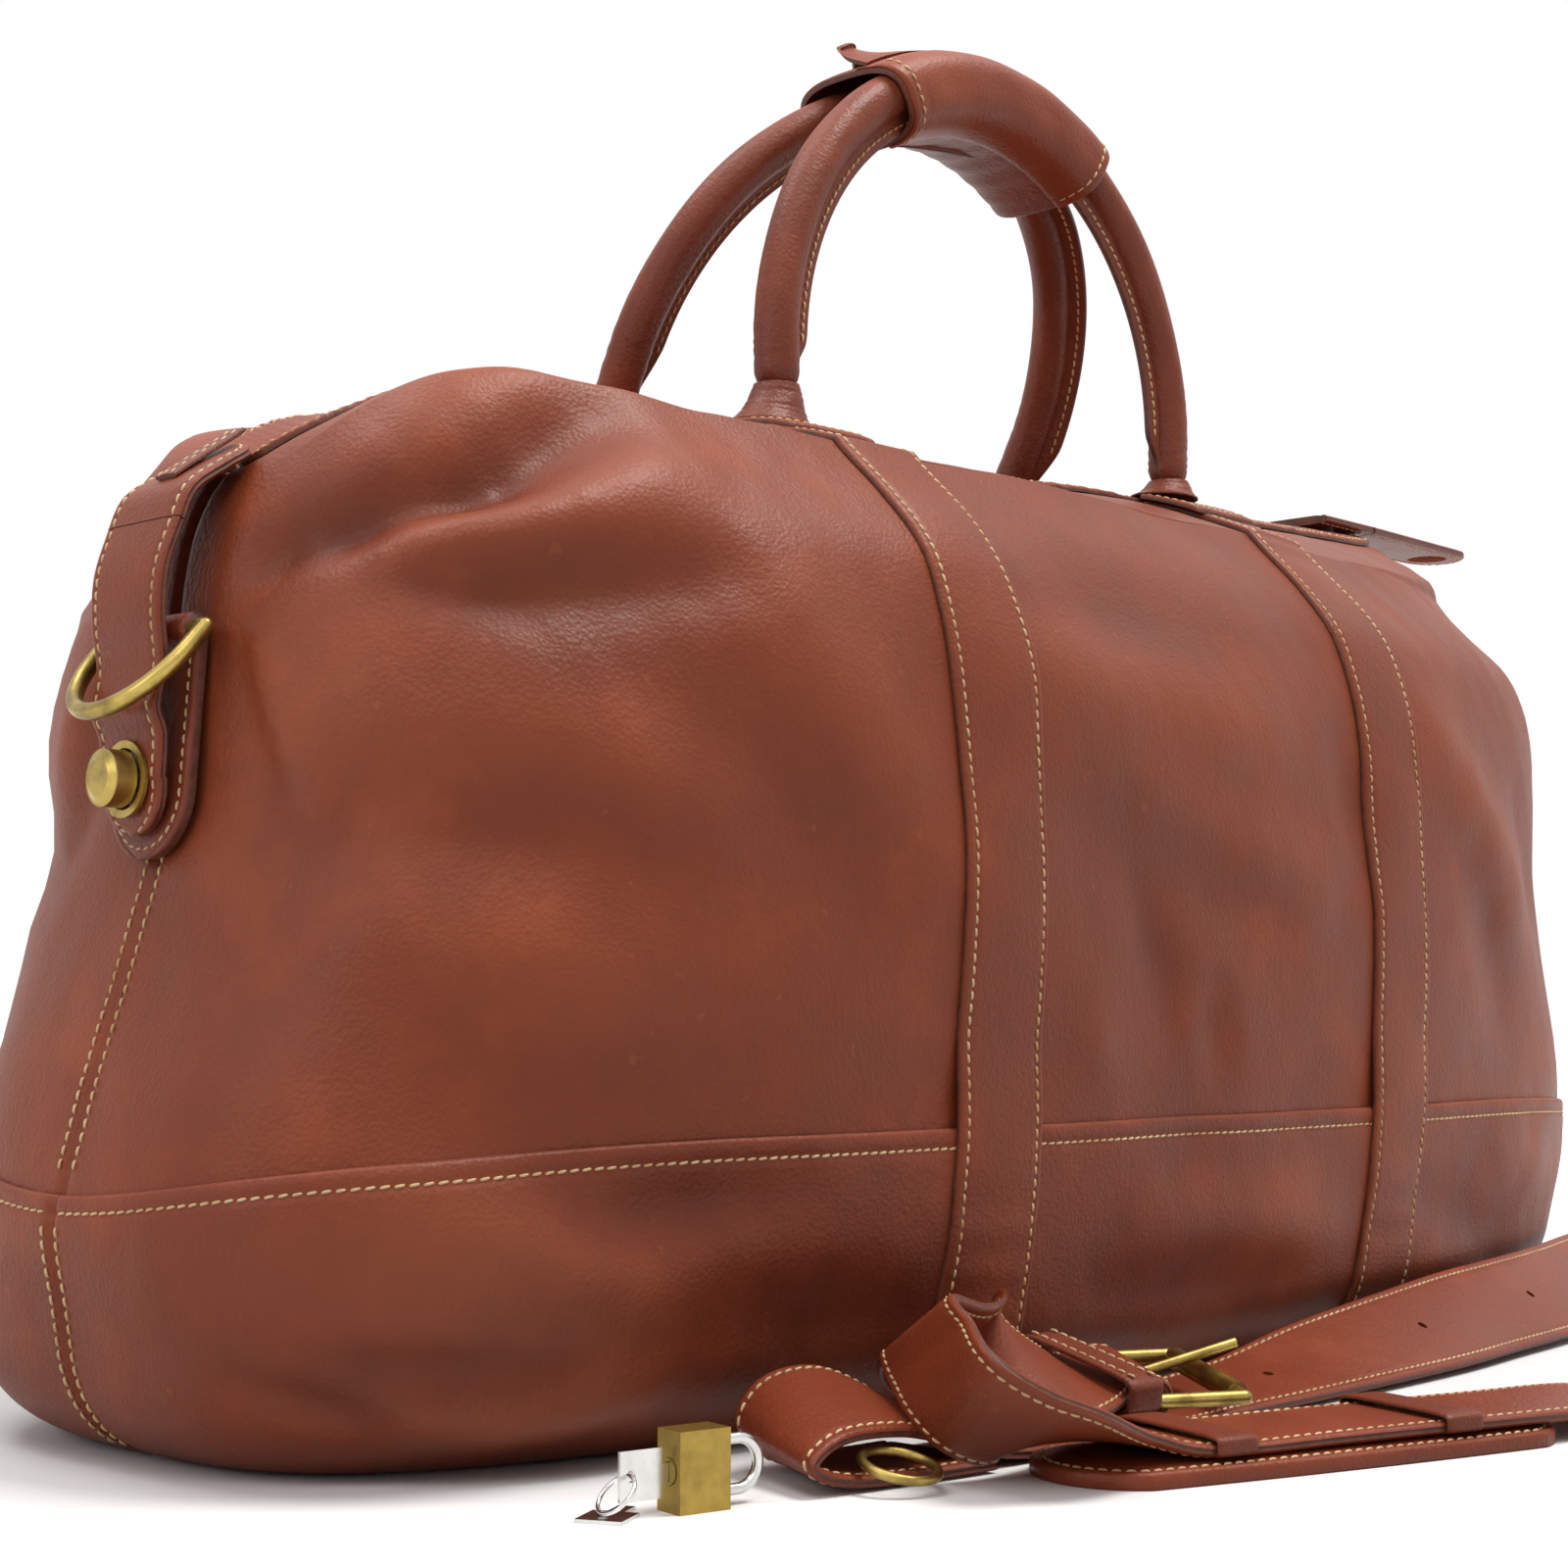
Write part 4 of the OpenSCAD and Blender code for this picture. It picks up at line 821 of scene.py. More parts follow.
PANEL_V = np.r_[np.linspace(1.93, 2.1, 7), np.linspace(2.12, 3, 46)[1:],
                np.linspace(3, 3.96, 40)[1:], 4.0]
layer_piece("front_panel", AROUND, PANEL_V, -PANEL_T, 0, TAN, "leather_tan")
layer_piece("back_panel", AROUND_COARSE, PANEL_V[::2], -PANEL_T, 0, TAN, "leather_tan", on_back)
print("panels:", len(pieces["front_panel"].data.polygons), "faces")

# %% [markdown]
# The base is a darker layer over the lower edge of the panels, turned under along its top. It is
# made as the panels are, with extra rows of points where its edge bends.

# %% Base
BASE_EDGE_V = 2 - np.array([0, 0.003, 0.008, 0.018, 0.034, 0.042, 0.05, 0.066])
BASE_EDGE_DROP = np.array([-1.0, -0.4, -0.1, 0.0, 0.0, -0.4, 0.0, 0.1])
BASE_V = np.r_[0, 0.5, 0.9, 0.97, 1.0, np.linspace(1.05, 1.9, 34), BASE_EDGE_V[::-1]]
BASE_OUT = np.r_[np.full(len(BASE_V) - len(BASE_EDGE_DROP), SEWN), SEWN + BASE_EDGE_DROP[::-1]]
BASE_STITCH_V, BASE_GROOVE = 1.958, 0.35
layer_piece("base_front", AROUND, BASE_V, 2 * LAYER_GAP, BASE_OUT, RED, "leather_dark")
layer_piece("base_back", AROUND_COARSE, BASE_V, 2 * LAYER_GAP, BASE_OUT, RED, "leather_dark", on_back)
print("base:", len(pieces["base_front"].data.polygons), "faces")

# %% [markdown]
# The lining lies inside the panels and hardly shows, so a coarse layer does. Both halves stand
# for one solid.

# %% Lining
LINING_OUT, LINING_T = 4.2, 0.8
LINING_V = np.linspace(1.65, 3.65, 30)
lining_rings = layer(AROUND_COARSE[::3], LINING_V, -LINING_OUT - LINING_T, -LINING_OUT)[0]
for side, turn in SIDES:
    lining = loft(side + "_lining", turn(lining_rings), LINING, "lining_cloth", "bag")
    if side == "front":
        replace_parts(lining, "lining")
print("lining of", len(lining.data.polygons) * 2, "faces")

# %% [markdown]
# Double rows of stitches run beside the end seams, and one row runs under the top edge of the
# base. They follow the creased skin, so they rise and sink with the folds.

# %% Seams of the body
def row_on_skin(us, vs, off, turn=np.asarray):
    """Points and normals of a row of stitches off mm outside the surface."""
    us, vs = np.broadcast_arrays(np.asarray(us, float), np.asarray(vs, float))
    return turn(skin(us, vs, off + 0 * us)), turn(outward(us, vs))


def mirrored(rows):
    return [(on_back(line), on_back(normals)) for line, normals in rows]


SEAM_ROW, HALF_DEPTH = 2.9, 110
# Where the rows end under the left and the right tab
LEFT_TOP_V, RIGHT_TOP_V = 2.33, 2.26
FRONT_ROWS, BASE_ROWS = [], []
seam_row_u = math.degrees(math.asin(SEAM_ROW / HALF_DEPTH))
for end_u, top_v in ((seam_row_u, LEFT_TOP_V), (180 - seam_row_u, RIGHT_TOP_V)):
    for low_v, high_v, off, rows in ((2.02, top_v, 0.0, FRONT_ROWS), (1.18, 1.93, SEWN, BASE_ROWS)):
        rows.append(row_on_skin(end_u, np.linspace(low_v, high_v, 60), off))
base_us = np.linspace(1.5, 178.5, 400)
BASE_ROWS.append(row_on_skin(base_us, BASE_STITCH_V, SEWN - BASE_GROOVE))
stitches("front_panel_stitching", FRONT_ROWS, "bag")
stitches("back_panel_stitching", mirrored(FRONT_ROWS), "bag")
stitches("front_base_stitching", BASE_ROWS, "bag")
stitches("back_base_stitching", mirrored(BASE_ROWS), "bag")
print("body stitched in", 2 * len(FRONT_ROWS + BASE_ROWS), "rows")

# %% [markdown]
# ## Bands and zip facings
# Two bands run up each side, from under the bag to the zip facings. Each lies over the base and
# then drops onto the panel, and under_band eases that step. Fine wrinkles across its face are in
# the mesh, because they break its outline.

# %% Bands
BAND_X, BAND_W, FACING_V = 101.5, 33, 3.6
BAND_LOW_V = 1.16
BAND_V = np.r_[np.linspace(BAND_LOW_V, 1.95, 40), np.linspace(1.96, 2.1, 9),
               np.linspace(2.12, FACING_V - 0.01, 66)]


def under_band(v):
    """Distance of a band from the surface; it drops off the base at v = 2."""
    return mixed(SEWN + LAYER_GAP, 2 * LAYER_GAP, eased((v - 2.0) / 0.09))


def band_piece(name, x, turn):
    profile = across(BAND_W)
    a, v = np.meshgrid(x + profile[:, 0], BAND_V)
    over = under_band(v)
    u = u_of(a, v)
    reach = 0.2 * np.sin(v * 37 + 2 * np.sin(v * 11) + a * 0.02)
    drop = profile[:, 1] + reach * (1 - (np.abs(profile[:, 0]) / (BAND_W / 2)) ** 4)
    rings = slab(skin(u, v, over + TRIM_T + drop), skin(u, v, over))
    obj = loft(name, turn(rings), TAN, "leather_tan", "bag", (len(profile) - 1, -1),
               low=lowness(surf(u, v)))
    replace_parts(obj, name)
    row_xs = [x + s * (BAND_W / 2 - STITCH_IN) + 0 * BAND_V for s in (-1, 1)]
    rows = [row_on_skin(u_of(row_x, BAND_V), BAND_V, under_band(BAND_V) + TRIM_T - GROOVE, turn)
            for row_x in row_xs]
    stitches(name + "_stitching", rows, "bag")


for side, turn in SIDES:
    band_piece(side + "_left_band", -BAND_X, turn)
    band_piece(side + "_right_band", BAND_X, turn)
print("four bands,", BAND_W, "mm wide")

# %% [markdown]
# The facings run along both sides of the zip and cover the ends of the bands. Their row of
# stitches puckers the leather a little, which two sine waves give.

# %% Zip facings
FACING_EDGE_V = FACING_V + np.array([0, 0.006, 0.016, 0.035, 0.05, 0.07, 0.1])
FACING_DROP = np.array([-0.9, -0.35, -0.08, 0.05, -0.3, 0.05, 0.15])
FACING_ROWS_V = np.r_[FACING_EDGE_V, np.linspace(3.74, 3.98, 12), 4.0]
FACING_US = np.linspace(5, 175, 300)
FACING_STITCH_V = FACING_V + 0.05


def facing_out(u, drop):
    pucker = 0.16 * np.sin(u * 3.1 + 2 * np.sin(u * 0.37)) + 0.07 * np.sin(u * 7.3)
    return SEWN + 2 * LAYER_GAP + drop + pucker * (drop < 0.3)


u, v = np.meshgrid(FACING_US, FACING_ROWS_V)
drop = np.r_[FACING_DROP, np.full(12, 0.15), -0.5][:, None] + 0 * u
facing_rings = slab(skin(u, v, facing_out(u, drop)), skin(u, v, 4 * LAYER_GAP + 0 * u))
row_us = np.linspace(6, 174, 300)
for side, turn in SIDES:
    name = side + "_zip_facing"
    facing = loft(name, turn(facing_rings), TAN, "leather_tan", "bag", (len(FACING_US) - 1, -1))
    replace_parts(facing, name)
    row = row_on_skin(row_us, FACING_STITCH_V, facing_out(row_us, -GROOVE + 0 * row_us), turn)
    stitches(name + "_stitching", [row], "bag")
print("zip facings of", len(facing.data.polygons), "faces each")

# %% [markdown]
# ## Zip
# The rows of teeth run close together, and spread where the slider has opened the left end. One
# row could be an array along a curve, but the opened end needs a place of its own for each tooth,
# so each is a small box of six faces.

# %% Tapes and teeth
SLIDER_X = -ZIP_BEND_X + 2
OPEN_X = SLIDER_X - 8
ZIP_END_IN = 9.3
ZIP_X0, ZIP_X1 = -ZIP_HALF + ZIP_END_IN, ZIP_HALF - ZIP_END_IN
ZIP_LEVEL = PANEL_T + 1.1
TOOTH_W, TOOTH_T, TOOTH_LONG, TOOTH_PITCH = 2.6, 2.0, 1.3, 2.2
# Half lengths of a tooth at its tip and its root and half its thickness, as shares
TOOTH_TIP, TOOTH_ROOT, TOOTH_HALF = 0.32, 0.5, 0.48
TAPE_T, TAPE_W = 0.7, 7.5


def spread_at(x):
    open_gap = ZIP_GAP / 2 - TOOTH_W
    return np.where(x > OPEN_X, 0.5, mixed(0.5, open_gap, eased((OPEN_X - x) / 20)))


def zip_points(x, y, rise):
    return np.stack([x + 0 * y, -(spread_at(x) + y), SEWN + zip_at(x) - ZIP_LEVEL + rise + 0 * y], -1)


def tooth_row(shift):
    """Points and faces of all teeth of one side, the shift apart from the other side's."""
    points, faces = [], []
    box_faces = [(0, 1, 3, 2), (4, 6, 7, 5), (0, 4, 5, 1), (2, 3, 7, 6), (0, 2, 6, 4), (1, 5, 7, 3)]
    for x in np.arange(ZIP_X0 + 1 + shift, ZIP_X1 - 1, TOOTH_PITCH):
        start = len(points)
        for i in (-1, 1):
            for y, half in ((0.05, TOOTH_TIP), (TOOTH_W, TOOTH_ROOT)):
                for k in (-1, 1):
                    at = np.array(x + i * half * TOOTH_LONG)
                    points.append(zip_points(at, np.array(y), k * TOOTH_T * TOOTH_HALF))
        faces += [tuple(start + c for c in f) for f in box_faces]
    return points, faces


for side, turn, shift in (("front", np.asarray, 0.0), ("back", on_back, TOOTH_PITCH / 2)):
    xs = np.r_[np.linspace(ZIP_X0, OPEN_X, 30), np.linspace(OPEN_X + 5, ZIP_X1, 60)]
    tape_y = [TOOTH_W + 0.02, TOOTH_W + 1.2, TAPE_W]
    top = np.stack([zip_points(xs, y + 0 * xs, TAPE_T / 2) for y in tape_y], 1)
    under = np.stack([zip_points(xs, y + 0 * xs, -TAPE_T / 2) for y in reversed(tape_y)], 1)
    tape_rings = turn(np.concatenate([top, under], 1))
    tape = loft(side + "_zip_tape", tape_rings, TAPE, "olive_tape", "bag", edge=TAPE)
    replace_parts(tape, side + "_zip_tape")
    tooth_points, tooth_faces = tooth_row(shift)
    row = make(side + "_zip_teeth", turn(tooth_points), tooth_faces, (BRASS,), "antique_brass", "bag",
               bend=30)
    outward_facing(row.data)
    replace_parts(row, side + "_zip_teeth")
print("zip with", len(tooth_faces) // 3, "teeth")

# %% [markdown]
# ## Straps
# A strap is two layers of leather, sewn near both edges. A curve with a bevel would twist in the
# bends and couldn't narrow to a tip, so ribbon sets a profile across the route at each step and
# sews both faces. pierce cuts the holes, as a punch does.

# %% Straps along a route
NARROW, STRAP_SWELL = 13, 0.15
# Place of the line between the two layers of a strap, on its edges
LINE_IN, LINE_UP = 0.3, 0.12


def profile_for(width):
    """Profile across a strap; on a narrow one it is squeezed."""
    if width > NARROW:
        return across(width, STRAP_SWELL)
    return across(NARROW, STRAP_SWELL) * (width / NARROW, 1)


def unit(a):
    return a / np.maximum(1e-9, np.linalg.norm(a, axis=-1, keepdims=True))


def ribbon(name, mids, sides, widths, thick, material, slot, body):
    mids, sides = np.asarray(mids, float), unit(np.asarray(sides, float))
    widths = np.broadcast_to(np.asarray(widths, float), len(mids))
    normals = unit(np.cross(np.gradient(mids, axis=0), sides))
    rings = []
    for mid, side, normal, width in zip(mids, sides, normals, widths):
        profile = profile_for(width)
        half = [(-width / 2 + LINE_IN, LINE_UP), *((a, thick / 2 + d) for a, d in profile),
                (width / 2 - LINE_IN, LINE_UP)]
        top = [mid + side * a + normal * h for a, h in half]
        under = [mid + side * a - normal * h for a, h in reversed(half)]
        rings.append(top + under)
    n = len(rings[0]) // 2
    obj = loft(name, rings, material, slot, body, (0, n - 2, n - 1, n, 2 * n - 2, 2 * n - 1))
    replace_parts(obj, name)
    wide = widths > 3 * STITCH_IN
    inset = np.maximum(0, widths / 2 - STITCH_IN)[:, None]
    lines = []
    for face in (1, -1):
        for s in (-1, 1):
            line = mids + sides * s * inset + normals * face * (thick / 2 - GROOVE)
            lines.append((line[wide], (normals * face)[wide]))
    stitches(name + "_stitching", lines, body)
    return obj


def smooth(route, count):
    """Catmull-Rom line through the points of a route, as in the solids."""
    p = np.asarray(route, float)
    last = len(p) - 1
    out = []
    for i in range(last):
        a, b, c, d = p[max(0, i - 1)], p[i], p[i + 1], p[min(last, i + 2)]
        for j in range(count):
            t = j / count
            out.append(0.5 * (2 * b + (c - a) * t + (2 * a - 5 * b + 4 * c - d) * t * t
                              + (3 * b - a - 3 * c + d) * t**3))
    return np.array(out + [p[last]])


CUTTER_LONG = 20


def pierce(obj, holes, crossed=False):
    """Cuts holes of a given centre, axis and radius. crossed is for a strip that touches itself."""
    for centre, axis, radius in holes:
        bpy.ops.mesh.primitive_cylinder_add(vertices=32, radius=radius * MM, depth=CUTTER_LONG * MM)
        cutter = bpy.context.object
        cutter.rotation_euler = Vector(axis).to_track_quat("Z", "Y").to_euler()
        cutter.location = Vector(centre) * MM
        cut = obj.modifiers.new("hole", "BOOLEAN")
        cut.object = cutter
        cut.solver = "EXACT"
        cut.use_self = crossed
        bpy.context.view_layer.objects.active = obj
        bpy.ops.object.modifier_apply(modifier=cut.name)
        bpy.data.objects.remove(cutter)
    print(obj.name, "pierced, now", [round(c / MM) for c in obj.dimensions], "mm")


print("strap builders ready")

# %% [markdown]
# ## End straps and tabs
# A tab is sewn to each end and folded over the bar of its ring. Its tip is round, and it leans as
# the body does. It is lofted from its tip up, because its width and its thickness change with
# height.

# %% Two tabs
STRAP_W, STRAP_TIP_W, STRAP_T, STRAP_FREE = 32, 27, 3, 78
TAB_W, TAB_T, TAB_LOW, TAB_ROW_TOP = 38, 3, 146, 6
RING_Z, RING_WIRE, RUNNING = 203, 2.2, 0.3
KNOB_Z, KNOB_R, EYELET_R = 166, 7.2, 9.6
SHOULDER_Z = 225
LOOP_R = RING_WIRE + RUNNING + 1.6


def end_of(z, full):
    reach = float(curve(LENGTHS, z - SEWN) - edge_in(z - SEWN))
    return reach + full * min(1, (z - SEWN) / RIDGE) ** 3


def lean_of(full):
    return math.atan((end_of(TAB_LOW, full) - end_of(RING_Z, full)) / (RING_Z - TAB_LOW))


def bar_of(full):
    return end_of(RING_Z, full) + LOOP_R + 0.9


def strap_face(full):
    lean = lean_of(full)
    face = bar_of(full) + (TAB_T - LOOP_R) / math.cos(lean) + (RING_Z - KNOB_Z) * math.tan(lean)
    return face + (KNOB_R - 1.5) * abs(math.tan(lean)) + LAYER_GAP + 2.5


def tab(name, sign, full):
    """A two-layer tab with a round tip, folded over the ring's bar at its top."""
    lean, half = lean_of(full), TAB_W / 2 - 2
    rise = RING_Z - TAB_LOW
    heights = np.r_[half * (1 - np.cos(np.radians([12, 26, 40, 54, 68, 80]))), np.linspace(half, rise, 14),
                    rise + LOOP_R * np.sin(np.radians([25, 50, 70, 85]))]
    rings = []
    for h in heights:
        wide = 2 * math.sqrt(max(0.5, half**2 - max(0, half - h) ** 2))
        bulge = LOOP_R**2 - (h - rise) ** 2
        back = -LOOP_R
        front = max(-LOOP_R + TAB_T if h < rise else -9, math.sqrt(bulge) if bulge > 0 else -9)
        if h > rise:
            back = -math.sqrt(max(0.1, bulge))
        profile = profile_for(wide)
        row = [(front + d, a) for a, d in profile] + [(back, a) for a in profile[::-1, 0]]
        turned = []
        for d, a in row:
            z = h - rise
            x = bar_of(full) + d * math.cos(lean) - z * math.sin(lean)
            turned.append((sign * x, a, RING_Z + z * math.cos(lean)))
        rings.append(turned)
    n = len(rings[0]) // 2
    obj = loft(name, rings, ROLLED, "leather_dark", "bag", (n - 1, 2 * n - 1))
    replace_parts(obj, name)
    face = np.array([sign * math.cos(lean), 0, math.sin(lean)])
    lines = []
    row_at = half - STITCH_IN
    line = [(-row_at, rise - TAB_ROW_TOP), (-row_at, half)]
    line += [(row_at * math.sin(a), half - row_at * math.cos(a))
             for a in np.radians(np.linspace(-86, 86, 40))]
    line += [(row_at, half), (row_at, rise - TAB_ROW_TOP)]
    dense = np.concatenate([np.linspace(a, b, 6)[:-1] for a, b in zip(line[:-1], line[1:])])
    d = TAB_T - LOOP_R - GROOVE
    for a, h in dense:
        z = h - rise
        x = bar_of(full) + d * math.cos(lean) - z * math.sin(lean)
        lines.append((sign * x, a, RING_Z + z * math.cos(lean)))
    stitches(name + "_stitching", [(np.array(lines), np.tile(face, (len(lines), 1)))], "bag")


tab("left_tab", -1, 0)
tab("right_tab", 1, RIGHT_FULL)
print("tabs lean", round(math.degrees(lean_of(0)), 1), "degrees")

# %% [markdown]
# The left strap's root is sewn to the top of the bag. The free part bends down past the ring to
# the knob, where an eyelet holds it. Root and free part are separate, since the free part gives a
# little on its knob.

# %% Left end strap
BEND_X, BEND_Z = end_of(SHOULDER_Z + SEWN, 0) + 12, SHOULDER_Z + 5
TIP_ANGLES = np.radians([0, 15, 30, 45, 58, 68, 78])
tip_r = STRAP_TIP_W / 2


def flat_route(points):
    """A route of [x, z] points as mid points with their side vectors."""
    return np.array([(x, 0, z) for x, z in points]), np.tile([0, 1, 0], (len(points), 1))


def over_zip(x):
    """Height of the middle of a strap that lies over the zip facings."""
    return SEWN + float(zip_at(x)) + TRIM_T + 4 * LAYER_GAP + STRAP_T / 2 + RUNNING


FACING_RISE = 5.4
FOLD_GAP = 0.45
ROOT_ROUTE = [(-ZIP_HALF + 10, over_zip(-ZIP_HALF + 10) + FACING_RISE),
              (-ZIP_HALF + 2, over_zip(-ZIP_HALF + 2) + FACING_RISE),
              (-ZIP_HALF - 5, over_zip(-ZIP_HALF) + 1.6), (-BEND_X + 14, BEND_Z + 16),
              (-BEND_X + 4, BEND_Z + 8.6), (-BEND_X, BEND_Z + FOLD_GAP / 4)]
ROOT_TIP, ROOT_FROM, TIP_DOWN = 11, 14, 1.5
root = smooth(ROOT_ROUTE, 8)[ROOT_FROM:]
past_end = np.clip(1 - (root[0, 0] - root[:, 0]) / ROOT_TIP, 0, 0.98)
root[:, 1] -= TIP_DOWN * past_end
ribbon("left_strap_root", *flat_route(root), STRAP_W * np.sqrt(1 - past_end**2), STRAP_T, STRAP,
       "leather_tan", "bag")
free_x = -BEND_X - 4.5
face_x = -strap_face(0) - STRAP_T / 2
hang = smooth([(-BEND_X, BEND_Z - FOLD_GAP / 4), (free_x + 0.6, BEND_Z - 12), (free_x, BEND_Z - 24),
               (free_x + 1.5, BEND_Z - 36), (face_x - 2.4, KNOB_Z + EYELET_R + 8),
               (face_x, KNOB_Z + EYELET_R + 1), (face_x, KNOB_Z)], 6)
tip_z = BEND_Z - STRAP_FREE + tip_r
tip = [(face_x + 0.5 + 0.1 * tip_r * math.sin(a), tip_z - tip_r * math.sin(a)) for a in TIP_ANGLES]
widths = np.r_[np.linspace(STRAP_W, STRAP_TIP_W, len(hang)), STRAP_TIP_W * np.cos(TIP_ANGLES)]
left_strap = ribbon("left_end_strap", *flat_route(np.r_[hang, np.array(tip)]), widths, STRAP_T, STRAP,
                    "leather_tan", "left_end_strap")
pierce(left_strap, [((face_x, 0, KNOB_Z), (1, 0, 0), KNOB_R + 1)])
print("left strap hangs", STRAP_FREE, "mm")

# %% [markdown]
# The right strap is open and stands straight out from the top of the bag. It is the same ribbon
# on a straight route.

# %% Right end strap
RIGHT_HINGE_X = ZIP_HALF + 10
RIGHT_Z = float(zip_at(ZIP_HALF)) + 2 * SEWN + 2 * LAYER_GAP + RUNNING + STRAP_T / 2
right_tip_x = RIGHT_HINGE_X + STRAP_FREE + 8 - tip_r
root_xs = np.linspace(ZIP_HALF - 26, RIGHT_HINGE_X - FOLD_GAP, 8)
ribbon("right_strap_root", *flat_route([(x, RIGHT_Z) for x in root_xs]), STRAP_W, STRAP_T, STRAP,
       "leather_tan", "bag")
open_xs = np.r_[np.linspace(RIGHT_HINGE_X + FOLD_GAP, right_tip_x, 20),
                right_tip_x + tip_r * np.sin(TIP_ANGLES[1:])]
open_w = np.r_[np.linspace(STRAP_W, STRAP_TIP_W, 20), STRAP_TIP_W * np.cos(TIP_ANGLES[1:])]
right_strap = ribbon("right_end_strap", *flat_route([(x, RIGHT_Z) for x in open_xs]), open_w, STRAP_T, STRAP,
                     "leather_tan", "right_end_strap")
pierce(right_strap, [((right_tip_x - 4, 0, RIGHT_Z), (0, 0, 1), KNOB_R + 1)], crossed=True)
print("right strap reaches", round(right_tip_x + tip_r), "mm")

# %% [markdown]
# The small tab at the end of the zip lies on the root of the left strap. It follows the first
# part of the same route, a little higher.

# %% Zip end tab
END_TAB_W, END_TAB_T = 9, 1.4
tab_top = smooth([(x - 1.6, z + 2.2) for x, z in ROOT_ROUTE[:5]], 8)[ROOT_FROM - 2: -3]
ribbon("zip_end_tab", *flat_route(tab_top), END_TAB_W, END_TAB_T, ROLLED, "leather_dark", "bag")
print("zip end tab in", len(tab_top), "steps")

# %% [markdown]
# ## Handles
# Each handle is leather rolled round a filler, with a sewn flange on its inner side and small
# creases across. A curve with a round bevel has no flange, so rings with a fin are lofted along
# the arch. Its legs end in balls, which turn in the cups of the feet.

# %% Handles
ROLL_R, ROLL_T, LEG, FOOT_Z = 6.9, 1.4, 10, 297
BACK_LEAN, BACK_EXTRA, BACK_TWIST = 27, 10, -125.0
BALL_R = ROLL_R - 0.15
BALL_HEIGHTS = -np.sin(np.radians([84, 72, 58, 42, 26, 10]))
BALLS = len(BALL_HEIGHTS)
FLANGE, FLANGE_HALF, FLANGE_ROW, FLANGE_ROW_IN = 5.4, 1.2, 2.6, 14
TUBE_ANGLES = np.radians(np.linspace(168, -168, 40))
FOOT_CREASE, TUBE_SWELL = 0.14, 0.12


def arch(leg, lean, side):
    """Centres, outward and plane normals along a handle."""
    angles = np.radians(np.linspace(180, 0, 150))
    legs = np.r_[BALL_R * BALL_HEIGHTS, np.linspace(0, leg, 9)[:-1]]
    x = np.r_[-HANDLE_R + 0 * legs, HANDLE_R * np.cos(angles), HANDLE_R + 0 * legs]
    h = np.r_[legs, leg + HANDLE_R * np.sin(angles), legs[::-1]]
    nx = np.r_[-1 + 0 * legs, np.cos(angles), 1 + 0 * legs]
    nh = np.r_[0 * legs, np.sin(angles), 0 * legs]
    a = math.radians(lean)
    up = np.array([0, -math.sin(a), math.cos(a)])
    plane = np.array([0, -math.cos(a), -math.sin(a)])
    centres = np.array([0, side * HANDLE_Y, FOOT_Z]) + x[:, None] * [1, 0, 0] + h[:, None] * up
    return centres, nx[:, None] * [1, 0, 0] + nh[:, None] * up, np.tile(plane, (len(x), 1))


def handle(name, leg, lean, side, twist=0.0):
    """A handle with its stitching and filling. twist turns the flange outward on the right leg."""
    centres, outs, planes = arch(leg, lean, side)
    count = len(centres)
    s = np.arange(count)
    ends = eased((np.minimum(s, count - 1 - s) - BALLS) / 10)
    girth = np.ones(count)
    girth[:BALLS] = np.sqrt(1 - BALL_HEIGHTS**2)
    girth[-BALLS:] = girth[:BALLS][::-1]
    base = 1 - eased((np.minimum(s, count - 1 - s) - 6) / 26)
    turn_over = np.radians(twist) * eased((s - 0.4 * count) / (0.3 * count))
    outs, planes = (outs * np.cos(turn_over)[:, None] + planes * np.sin(turn_over)[:, None],
                    planes * np.cos(turn_over)[:, None] - outs * np.sin(turn_over)[:, None])
    rings = []
    for i in range(count):
        wobble = FOOT_CREASE * base[i] * np.sin(s[i] * 2.4 + 2.2 * np.cos(TUBE_ANGLES) + math.sin(s[i]))
        wobble = wobble + TUBE_SWELL * np.sin(s[i] * 0.23 + 3 * TUBE_ANGLES)
        radius = BALL_R + wobble * girth[i]
        fin = ROLL_R + 0.2 + FLANGE * ends[i]
        ring = [(r * math.cos(a), r * math.sin(a)) for r, a in zip(radius, TUBE_ANGLES)]
        ring += [(-fin + 0.5, -FLANGE_HALF), (-fin, -FLANGE_HALF + 0.5), (-fin, FLANGE_HALF - 0.5),
                 (-fin + 0.5, FLANGE_HALF)]
        rings.append([centres[i] + (outs[i] * p + planes[i] * q) * girth[i] for p, q in ring])
    tube_m = len(TUBE_ANGLES)
    obj = loft(name, rings, ROLLED, "leather_tan", name, (tube_m, tube_m + 1, tube_m + 2), bend=60)
    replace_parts(obj, name)
    lines = []
    inner = slice(FLANGE_ROW_IN, count - FLANGE_ROW_IN)
    for turn in (-1, 1):
        line = centres - outs * (ROLL_R + FLANGE - FLANGE_ROW) + planes * turn * (FLANGE_HALF + 0.05)
        lines.append((line[inner], (planes * turn)[inner]))
    stitches(name + "_stitching", lines, name)
    core_turn = np.linspace(0, math.tau, 13)[:-1]
    core_r = ROLL_R - ROLL_T - 0.2
    between = slice(BALLS, -BALLS, 3)
    core = [[c + core_r * (math.cos(a) * o + math.sin(a) * p) for a in core_turn]
            for c, o, p in zip(centres[between], outs[between], planes[between])]
    core_obj = loft(name + "_filling", core, CORE, "cord_core", name)
    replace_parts(core_obj, name + "_core")


handle("front_handle", LEG, 0, -1)
handle("back_handle", LEG + BACK_EXTRA, BACK_LEAN, 1, BACK_TWIST)
print("handles of radius", HANDLE_R, "mm")

